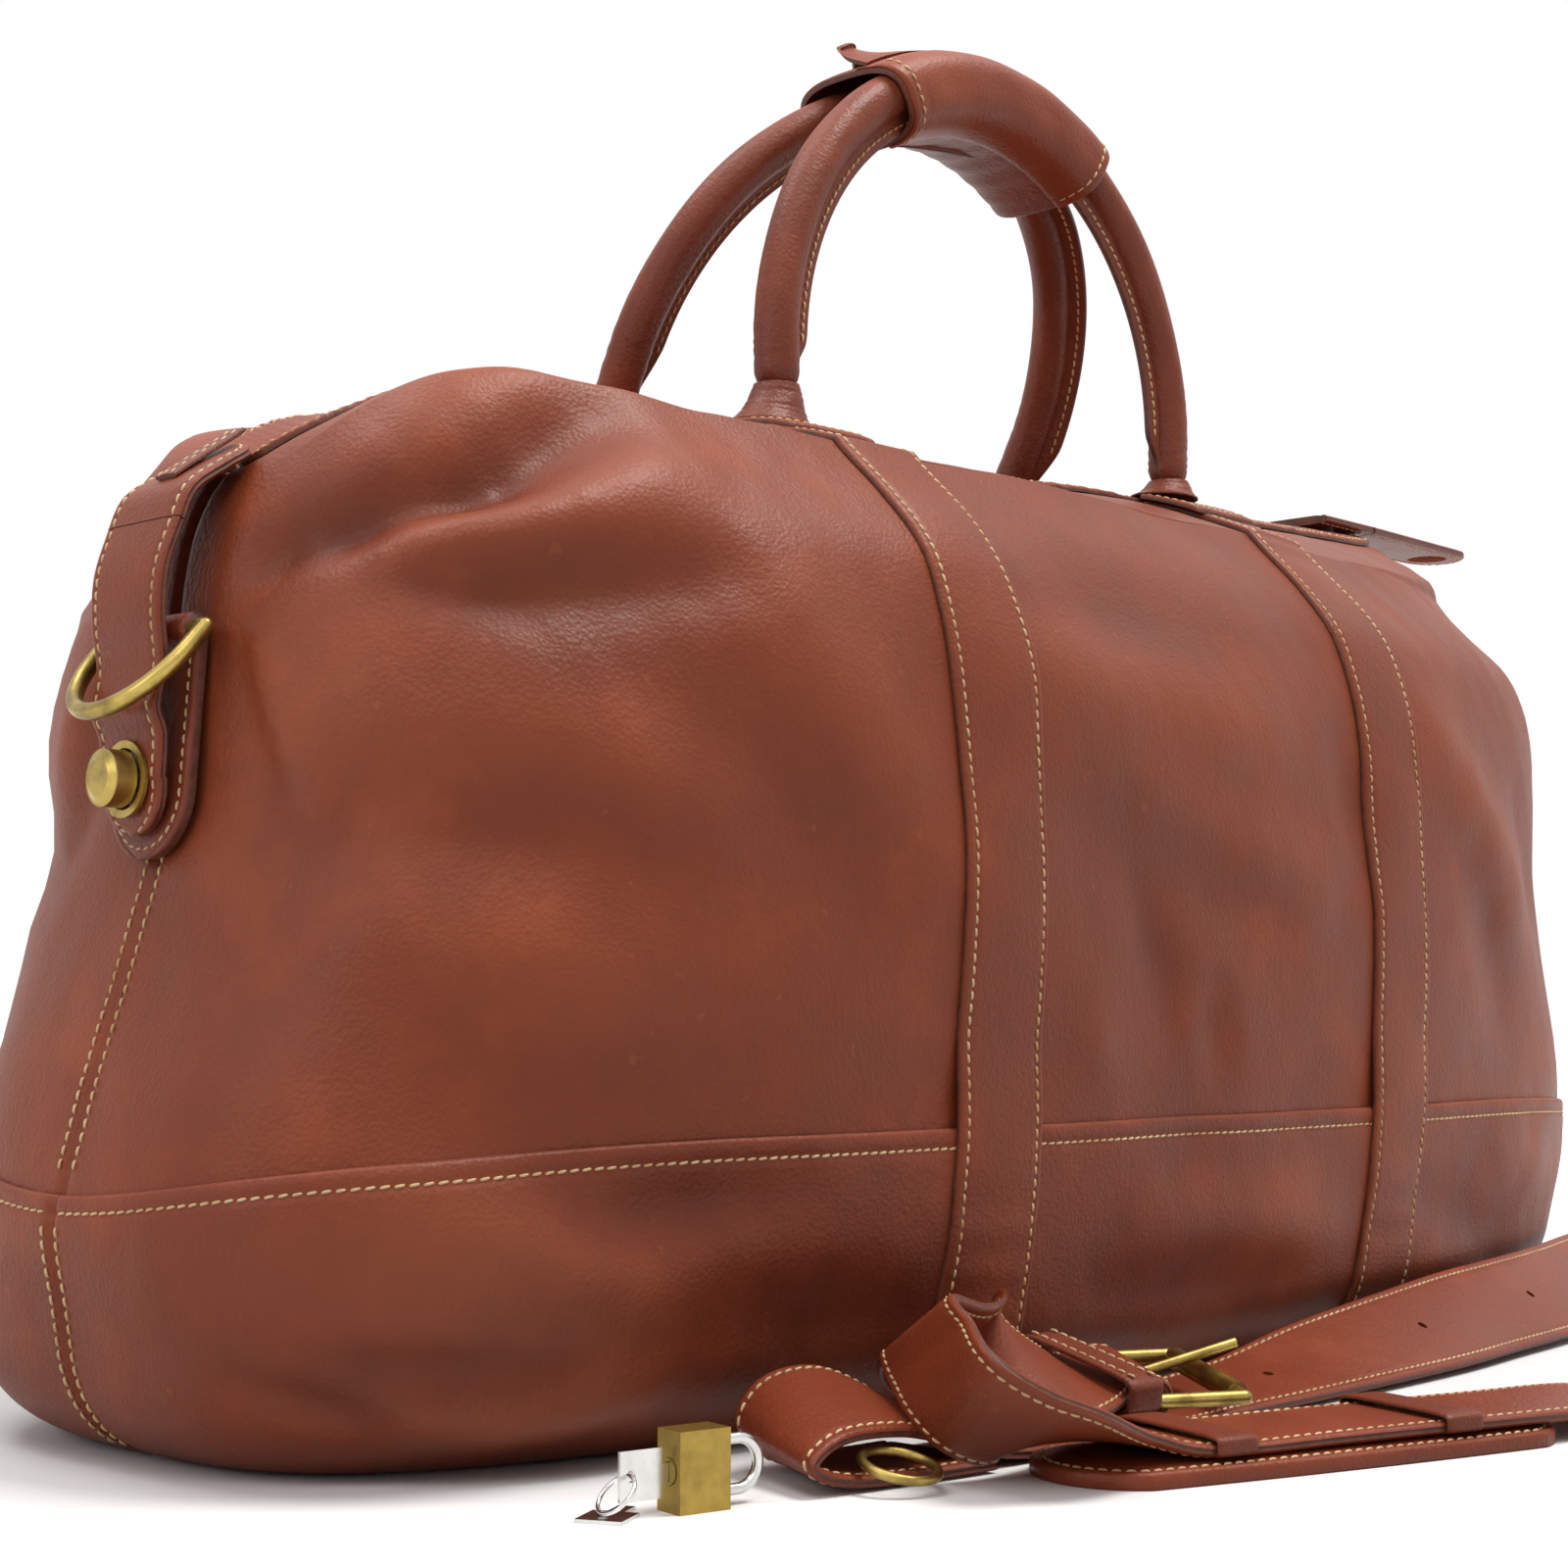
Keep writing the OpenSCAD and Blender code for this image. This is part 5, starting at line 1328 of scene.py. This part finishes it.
# %% [markdown]
# Each foot is flared, with a cup at its top, and sits on a patch with three rows of stitches. Its
# rings are turned about the leg and pushed into an oval, because the real feet spread along the
# bag. The four feet stand for one solid.

# %% Feet and patches
FOOT_TURN = np.linspace(0, math.tau, 33)[:-1]
FOOT_SHARES = np.r_[1.0, 0.985, np.linspace(0.96, 0.04, 24), -0.03, -0.12]
CUP_R, CUP_RIM = BALL_R + 0.35, 4.2
CUP_TURNS = np.radians([6, 20, 34, 45, 52])
FOOT_TOP_R, FOOT_LOW_R, FOOT_ASIDE = BALL_R + 0.1, 12.6, 2.5
PATCH_W, PATCH_LOW_V, PATCH_HIGH_V = 35, 3.25, 3.58
PATCH_V = np.r_[PATCH_LOW_V + np.array([0, 0.008, 0.02]), np.linspace(3.3, PATCH_HIGH_V, 14)]
PATCH_DROP = np.r_[-0.9, -0.3, -0.05, np.zeros(14)][:, None]
PATCH_ROW_V = PATCH_LOW_V + 0.045


def foot_points(x):
    """Rings of a flared foot, from the cup the handle turns in down onto the patch."""
    v = 3 + (78 - HANDLE_Y) / (78 - ZIP_GAP / 2)
    low = float(surf(u_of(np.array(float(x)), np.array(v)), v)[2]) + SEWN + LAYER_GAP + 1.9
    top = FOOT_Z - CUP_RIM
    cup = [(CUP_R * math.sin(a), FOOT_Z - CUP_R * math.cos(a)) for a in CUP_TURNS]
    cup += [(math.sqrt(CUP_R**2 - CUP_RIM**2) + 0.05, top - 0.15), (FOOT_TOP_R - 0.35, top + 0.1)]
    rings = [[(x + r * math.cos(a), -HANDLE_Y + r * math.sin(a), z) for a in FOOT_TURN]
             for r, z in cup]
    for share in FOOT_SHARES:
        z = low + (top - low) * share
        crease = 0.13 * np.sin(share * 27 + 3 * np.sin(FOOT_TURN + share * 9)) * eased((1 - share) * 5)
        r = mixed(FOOT_LOW_R, FOOT_TOP_R, max(0, share) ** 0.62) + crease
        oval = 1 - min(1, max(0, share))
        aside = x - FOOT_ASIDE * oval**2
        rings.append([(aside + (1 + 0.06 * oval) * rr * math.cos(a),
                       -HANDLE_Y + (1 - 0.14 * oval) * rr * math.sin(a), z)
                      for rr, a in zip(r, FOOT_TURN)])
    return rings


for side, turn in SIDES:
    for end, x in (("left", -HANDLE_R), ("right", HANDLE_R)):
        name = side + "_" + end + "_foot"
        foot = loft(name, turn(foot_points(x)), ROLLED, "leather_dark", "bag")
        if name == "front_left_foot":
            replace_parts(foot, "handle_feet")
        profile = across(PATCH_W)
        a, v = np.meshgrid(x + profile[:, 0], PATCH_V)
        u = u_of(a, v)
        over = SEWN + LAYER_GAP
        rings = slab(skin(u, v, over + TRIM_T + profile[:, 1] + PATCH_DROP), skin(u, v, over + 0 * u))
        loft(name + "_patch", turn(rings), TAN, "leather_tan", "bag", (len(profile) - 1, -1))
        half = PATCH_W / 2 - STITCH_IN
        row_v = np.linspace(PATCH_ROW_V, PATCH_HIGH_V, 20)
        cross_x = np.linspace(x - half, x + half, 12)
        lines = [(x + s * half + 0 * row_v, row_v, GROOVE) for s in (-1, 1)]
        lines.append((cross_x, PATCH_ROW_V + 0 * cross_x, 0.1))
        rows = [row_on_skin(u_of(xs, vs), vs, over + TRIM_T - deep, turn) for xs, vs, deep in lines]
        stitches(name + "_stitching", rows, "bag")
print("four handle feet")

# %% [markdown]
# ## Wrap around both handles
# A leather sleeve holds both handles together. Its outer layer is sewn at both ends and has a hem
# at the left one. Both bend twice, round the handles and along their arch, so their points are
# placed by an angle along the arch and a turn round it.

# %% Sleeve and outer layer
WRAP_ANGLE, WRAP_DEPTH, WRAP_HEIGHT, WRAP_T = 31, 41, 22, 2
WRAP_Y = -HANDLE_Y - ROLL_R - 0.8 + WRAP_DEPTH / 2
WRAP_MID_R = HANDLE_R - 2
WRAP_ROUND = 3.0
# Mean radius of the sleeve, and the angle up to which it creases
SLEEVE_R, CREASED_TO = 22, 28
# Steps in from a cut end, in degrees, and the drop of the face at each
END_STEPS, END_DROPS = np.array([0, 0.25, 0.7]), [-0.8, -0.25, 0.0]


def on_arc(angle, radius, y):
    """Point over the handles' middle; angle in degrees to the right of the top."""
    a = np.radians(angle)
    return np.stack([radius * np.sin(a), y + 0 * a, FOOT_Z + LEG + radius * np.cos(a)], -1)


def sleeve_loop(half_y, half_r, turn):
    c, s = math.cos(turn), math.sin(turn)
    k = (abs(c) ** WRAP_ROUND + abs(s) ** WRAP_ROUND) ** (-1 / WRAP_ROUND)
    return half_y * k * c, half_r * k * s


def handle_wrap():
    """The inner layer, a sleeve round both handles."""
    angles = np.r_[-WRAP_ANGLE + END_STEPS, np.linspace(-WRAP_ANGLE, WRAP_ANGLE, 60)[2:-2],
                   WRAP_ANGLE - END_STEPS[::-1]]
    drop = np.r_[END_DROPS, np.zeros(len(angles) - 6), END_DROPS[::-1]]
    rings = []
    for turn in np.linspace(0, math.tau, 73)[:-1]:
        flat = 0.7 * max(0, -math.sin(turn)) * np.cos(np.radians(angles * 2.6))
        crease = 0.2 * np.sin(angles * 0.9 + 3 * math.sin(turn)) - flat
        dy, dr = sleeve_loop(WRAP_DEPTH / 2 + WRAP_T, WRAP_HEIGHT / 2 + WRAP_T, turn)
        iy, ir = sleeve_loop(WRAP_DEPTH / 2, WRAP_HEIGHT / 2, turn)
        shrink = 1 + (drop + crease * (np.abs(angles) < CREASED_TO)) / SLEEVE_R
        outer = on_arc(angles, WRAP_MID_R + dr * shrink, WRAP_Y + dy * shrink)
        inner = on_arc(angles[::-1], WRAP_MID_R + ir + 0 * angles, WRAP_Y + iy)
        rings.append(np.concatenate([outer, inner]))
    n = len(angles)
    obj = loft("handle_wrap", rings, ROLLED, "leather_tan", "front_handle", (n - 1, 2 * n - 1),
               closed=True, bend=60)
    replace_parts(obj, "handle_wrap")


handle_wrap()


def sleeve_point(angles, turn, out):
    """Points out mm outside the sleeve at angles along it and one turn round it."""
    dy, dr = sleeve_loop(WRAP_DEPTH / 2 + WRAP_T, WRAP_HEIGHT / 2 + WRAP_T, turn)
    way = np.array([dy, dr]) / math.hypot(dy, dr)
    return on_arc(angles, WRAP_MID_R + dr + way[1] * out, WRAP_Y + dy + way[0] * out)


# The outer layer comes up from the lower seam over the front and goes under the flap's front edge
FRONT_T, HEM_AT, HEM_DEPTH, HEM_WIDE, END_ROW = 1.2, 4.6, 0.35, 0.4, 2.4
FRONT_TURNS = np.radians(np.r_[104, 107, np.linspace(110, 250, 34), 250.6, 251])
FRONT_DROP = np.r_[-1.1, -1.1, -1.0, -0.9, -0.5, -0.2, np.zeros(29), -0.1, -0.35, -0.9]
front_angles = np.r_[-WRAP_ANGLE + END_STEPS, np.linspace(-WRAP_ANGLE + 1.2, WRAP_ANGLE - 1.2, 80),
                     WRAP_ANGLE - END_STEPS[::-1]]
front_end = np.interp(WRAP_ANGLE - np.abs(front_angles), END_STEPS, [-0.9, -0.3, 0.0])
hem = -HEM_DEPTH * np.exp(-(((front_angles + WRAP_ANGLE - HEM_AT) / HEM_WIDE) ** 2))
over = []
for turn, drop in zip(FRONT_TURNS, FRONT_DROP):
    crease = 0.1 * np.sin(front_angles * 0.45 + 4 * math.sin(turn)) * (np.abs(front_angles) < 27)
    out = np.maximum(0.12, FRONT_T + drop + front_end + hem + crease)
    over.append(sleeve_point(front_angles, turn, out))
under = [sleeve_point(front_angles, turn, 0.05 + 0 * front_angles) for turn in FRONT_TURNS[::-1]]
front_rings = np.stack(over + under, 1)
loft("wrap_front", front_rings, STRAP, "leather_tan", "front_handle", edge=STRAP)
row_turns = FRONT_TURNS[5:-3]
rows = []
for angle in (-WRAP_ANGLE + END_ROW, WRAP_ANGLE - END_ROW):
    at = np.array([float(angle)])
    line = np.concatenate([sleeve_point(at, turn, FRONT_T - 0.05) for turn in row_turns])
    rows.append((line, unit(line - np.concatenate([sleeve_point(at, turn, -5.0) for turn in row_turns]))))
stitches("wrap_front_stitching", rows, "front_handle")
print("outer layer of", len(front_angles), "rings")

# %% [markdown]
# The flap lies over the top, from the front layer to its free edge at the back, and its left
# corner stands up. When it opens, its front edge has to stay with the wrap. Here it is made
# without a body, and its transform is baked into its points.

# %% Flap
FLAP_ANGLE, FLAP_LIFT, FLAP_CUT = WRAP_ANGLE - 1, 11, 16
LIFT_FROM, LIFT_OVER = 15, 13
flap_turns = np.radians(np.linspace(112, 46, 26))
flap_angles = np.linspace(-FLAP_ANGLE, FLAP_ANGLE, 60)
share = np.linspace(0, 1, len(flap_turns))
edges = np.interp(np.minimum(share, 1 - share) * 40, [0, 0.8, 2.0], [-0.8, -0.25, 0.0])
flap_rings = []
for angle in flap_angles:
    at = np.array([float(angle)])
    away = float(eased((-angle - LIFT_FROM) / LIFT_OVER))
    top, low = [], []
    for turn, t, edge_drop in zip(flap_turns, share, edges):
        thick = mixed(1.0, WRAP_T - 0.6, eased(t * 8)) + edge_drop * (t > 0.5)
        lift = away * FLAP_LIFT * t**1.3
        shift = np.array([0, -away * FLAP_CUT * t**2, 0])
        for points, out in ((top, RUNNING + thick), (low, RUNNING)):
            points.append(sleeve_point(at, turn, out)[0] + (0, 0, lift) + shift)
    flap_rings.append(top + low[::-1])
flap = loft("wrap_flap", flap_rings, STRAP, "leather_tan", None, (len(flap_turns) - 1,))
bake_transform(flap)
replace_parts(flap, "wrap_flap")
print("wrap of", 2 * WRAP_ANGLE, "degrees")

# %% [markdown]
# ## Shoulder strap, loose in front of the bag
# The strap lies as it fell, with a loop, a twist and a turn round the buckle's bar. A simulated
# cloth wouldn't fall as in the photo, so each end follows listed stations. Each station is a pair
# of points, one on the far edge and one on the near edge, which also sets how the strap turns.

# %% Both ends of the strap
SLING_W, SLING_T, PAD_T, PAD_W, PAD_LEN = 38, 3, 5, 46, 154
HOLED_ROUTE = [
    ((-152, -124, 2), (-152, -161, 2)), ((-174, -121, 2), (-178, -158, 2)),
    ((-188, -119, 4.5), (-198, -155, 3)), ((-196, -118, 13), (-207, -153, 7)),
    ((-188, -118, 21), (-197, -153, 12)), ((-172, -118.5, 22.5), (-178, -155, 11.5)),
    ((-156, -120, 16), (-160, -157, 7.5)), ((-140, -121, 5.5), (-142, -159, 3)),
    ((-122, -122, 2.2), (-122, -160, 2)), ((-100, -123, 2), (-100, -161, 2)),
    ((-70, -123, 2), (-70, -161, 2)), ((-40, -121, 4.5), (-42, -159, 1.8)),
    ((-5, -123, 8), (-6, -159.5, 2.4)), ((31, -125, 14.5), (31, -159, 3)),
    ((80, -124.5, 20), (80, -157, 3)), ((122, -121, 23), (122, -152, 3)),
    ((165, -117, 24.5), (165, -147, 3)), ((208, -110.5, 25), (210, -139, 3)),
    ((250, -101.5, 26), (252, -129.5, 3)), ((284, -92, 26), (286, -121, 3)),
]
HOLE_STATIONS, HOLE_R = [36, 42, 48, 54], 1.6
BUCKLE_AT, BUCKLE_TURN, BUCKLE_RISE = np.array([-59, -144, 11.4]), -28, 7
BUCKLE_HALF, WRAP_BAR_R = 12, 3.8
PAD_AT, PAD_TURN, STRAP_ON_PAD = np.array([-79.0, -199, 0]), -17, 6.8
KEEPER_X, KEEPER_W, KEEPER_ROW = 36, 12, 2.4


def turned(turn, rise=0):
    """The along and across directions of a frame turned round Z and raised round its X."""
    a, b = math.radians(turn), math.radians(rise)
    along = np.array([math.cos(a), math.sin(a), 0])
    over = np.array([-math.sin(a) * math.cos(b), math.cos(a) * math.cos(b), math.sin(b)])
    return along, over


BAR_ALONG, BAR_ACROSS = turned(BUCKLE_TURN, BUCKLE_RISE)
bar_mid = BUCKLE_AT - BAR_ALONG * BUCKLE_HALF
bar_up = np.cross(BAR_ALONG, BAR_ACROSS)
pad_along, pad_across = turned(PAD_TURN)


def around_bar(degrees, past=0.0):
    a = math.radians(degrees)
    shift = BAR_ALONG * (WRAP_BAR_R * math.cos(a) - past) + bar_up * WRAP_BAR_R * math.sin(a)
    return [bar_mid + BAR_ACROSS * s * SLING_W / 2 + shift for s in (1, -1)]


def on_pad(x, rise=(0, 0)):
    return [PAD_AT + pad_along * x + pad_across * s * SLING_W / 2 + (0, 0, STRAP_ON_PAD + r)
            for s, r in zip((-1, 1), rise)]


BUCKLE_ROUTE = [around_bar(a) for a in range(-100, 91, 38)] + [around_bar(90, d) for d in (3, 7)] + [
    ((-82, -121, 17.5), (-94, -157, 10)), ((-111, -131, 28), (-119, -157, 8)),
    ((-138, -146, 35), (-143, -122, 17)), ((-165, -159, 42), (-155.8, -128.2, 24)),
    ((-173, -170, 38), (-165, -140, 20)), ((-181, -181, 34), (-172, -151, 15)),
    ((-181, -189, 29), (-172, -160, 9)), ((-172, -194, 23), (-163, -165, 5)),
    ((-159.7, -198.7, 18), (-153, -167, 7.5)), on_pad(-58, (4, 0.8)), on_pad(-40), on_pad(0),
    on_pad(40), on_pad(74), ((24, -247, 6), (34, -211, 6)), ((52, -254, 2), (56, -217, 2)),
    ((96, -258, 2), (96, -220, 2)), ((128, -257, 2), (126, -219, 2)),
    ((142, -256.5, 4.5), (140, -218.5, 4.5)), ((146, -256, 9), (144, -218, 9)),
    ((140, -255.5, 13.5), (138, -217.5, 13.5)), ((126, -255.5, 12), (124, -217.5, 12)),
    ((108, -256, 6.6), (107, -218, 6.6)),
]


def sling(name, route):
    """A strap along a route of stations; the solids take 3 steps between two stations, this 8."""
    pairs = smooth(np.array(route, float), 8)
    return ribbon(name, pairs.mean(1), pairs[:, 0] - pairs[:, 1], SLING_W - 0.1, SLING_T, STRAP,
                  "leather_tan", "shoulder_strap")


holed = sling("sling_holed_end", HOLED_ROUTE)
rough = smooth(np.array(HOLED_ROUTE, float), 3)
mids = rough.mean(1)
holes = [(mids[i], np.cross(mids[i + 1] - mids[i - 1], rough[i, 0] - rough[i, 1]), HOLE_R)
         for i in HOLE_STATIONS]
pierce(holed, holes)
sling("sling_buckle_end", BUCKLE_ROUTE)
print("strap ends with", len(holes), "holes")

# %% [markdown]
# The pad is a stuffed strip with round ends and a stitched edge, and small leather loops hold the
# strap on it. The pad is a stack of outlines, and the loops are closed rings of a rounded box
# shape.

# %% Pad and keepers
def stadium(length, width, turn):
    """Outline point of a strip with round ends, and its way out, at an angle round it."""
    half, r = (length - width) / 2, width / 2
    c, s = math.cos(turn), math.sin(turn)
    return (half * math.copysign(min(1, abs(c) * 3), c) + r * c, r * s), (c, s)


def pad_ring(turns, inset, rise):
    """Points round the pad, inset from its outline and rise above the floor."""
    ring = []
    for t in turns:
        (x, y), (c, s) = stadium(PAD_LEN, PAD_W, t)
        ring.append(PAD_AT + pad_along * (x - inset * c) + pad_across * (y - inset * s) + (0, 0, rise))
    return np.array(ring)


# Inset and rise of each ring, from the middle of the underside to the middle of the top
PAD_RINGS = [(21.5, 0.0), (12.0, 0.0), (0.5, 0.0), (0.0, 0.5), (0.0, 3.2), (0.5, 3.9), (1.6, 4.2), (2.8, 3.9),
             (4.4, 4.4), (7.0, 4.75), (12.0, 4.95), (17.0, 5.0), (21.5, 5.0)]
pad_turns = np.linspace(0, math.tau, 161)[:-1]
pad = loft("shoulder_pad", [pad_ring(pad_turns, *place) for place in PAD_RINGS], STRAP, "leather_tan",
           "shoulder_pad", edge=STRAP)
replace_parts(pad, "shoulder_pad")
pad_row = pad_ring(np.linspace(0, math.tau, 400), STITCH_IN, 3.9)
stitches("shoulder_pad_stitching", [(pad_row, np.tile([0.0, 0, 1], (400, 1)))], "shoulder_pad")


LOOP_SQUARE = 6


def leather_loop(name, centre, along, over, room_y, room_z, wall, body, sew=True):
    """A loop of leather round a strap, closed both ways, its width lying along the strap."""
    up = np.cross(along, over)
    stops = KEEPER_W / 2 - np.array([0, 0.3, 1.0, 3.0])
    xs = np.r_[-stops, stops[::-1]]
    drop = np.r_[-0.5, -0.15, 0, 0.05, 0.05, 0, -0.15, -0.5]
    rings = []
    for t in np.linspace(0, math.tau, 49)[:-1]:
        c, s = math.cos(t), math.sin(t)
        k = (abs(c) ** LOOP_SQUARE + abs(s) ** LOOP_SQUARE) ** (-1 / LOOP_SQUARE)
        outer = [centre + along * x + over * k * c * (room_y / 2 + wall + d)
                 + up * k * s * (room_z / 2 + wall + d) for x, d in zip(xs, drop)]
        inner = [centre + along * x + over * k * c * room_y / 2 + up * k * s * room_z / 2
                 for x in xs[::-1]]
        rings.append(outer + inner)
    obj = loft(name, rings, ROLLED, "leather_dark", body, (len(xs) - 1, -1), closed=True)
    if sew:
        rows = []
        for x in (-KEEPER_W / 2 + KEEPER_ROW, KEEPER_W / 2 - KEEPER_ROW):
            ys = np.linspace(-room_y / 2 + 0.5, room_y / 2 - 0.5, 20)
            line = centre + along * x + np.outer(ys, over) + up * (room_z / 2 + wall)
            rows.append((line, np.tile(up, (20, 1))))
        stitches(name + "_stitching", rows, body)
    return obj


keeper_along, keeper_over = turned(-7, 12)
KEEPER_AT = np.array([-87, -139.5, 15.1])
keeper = leather_loop("sling_keeper", KEEPER_AT, keeper_along, keeper_over, SLING_W + 2, SLING_T + 5,
                      1.2, "shoulder_strap")
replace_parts(keeper, "sling_keeper")
for end, s in (("left", -1), ("right", 1)):
    at = PAD_AT + pad_along * s * KEEPER_X + (0, 0, PAD_T + LAYER_GAP + (SLING_T + 2.4) / 2)
    loop = leather_loop("pad_keeper_" + end, at, pad_along, pad_across, SLING_W + 1, SLING_T + 0.8,
                        0.9, "shoulder_pad", sew=False)
    if s < 0:
        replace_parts(loop, "pad_keepers")
print("pad and keepers")

# %% [markdown]
# ## Metal pieces
# Rings, knobs, buckle, zip parts and padlock keep their solids, and so does the base board. Their
# edges would be knife sharp, so small live bevels catch the light, and each piece gets its own
# finish.

# %% Finish the metal
FINISHES = {
    BRASS: ["zip_stops", "zip_slider", "zip_puller", "sling_ring", "sling_far_ring", "buckle_frame",
            "buckle_roller", "buckle_prong"]
    + [end + part for end in ("left_", "right_") for part in ("eyelet", "d_ring", "knob_post", "knob")],
    LOCK_BRASS: ["padlock_body", "padlock_plug"],
    STEEL: ["padlock_shackle", "padlock_key", "key_ring", "spare_key"],
    BOARD: ["base_board"],
}
# Bevel widths in mm
BEVELS = {"padlock_body": 0.7, "left_knob": 0.8, "right_knob": 0.8, "zip_slider": 0.3,
          "zip_puller": 0.3, "padlock_key": 0.15, "spare_key": 0.15, "left_eyelet": 0.25,
          "right_eyelet": 0.25, "buckle_roller": 0.3}
BEVEL_ANGLE = 40
for material, names in FINISHES.items():
    for name in names:
        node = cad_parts[name]
        node.material_slots[0].material = material
        for extra in node.material_slots[1:]:
            extra.material = material
        if name in BEVELS:
            bevel = node.modifiers.new("soft edges", "BEVEL")
            bevel.width = BEVELS[name] * MM
            bevel.segments = 2
            bevel.limit_method = "ANGLE"
            bevel.angle_limit = math.radians(BEVEL_ANGLE)
            bevel.harden_normals = False
print(sum(len(names) for names in FINISHES.values()), "solids finished")
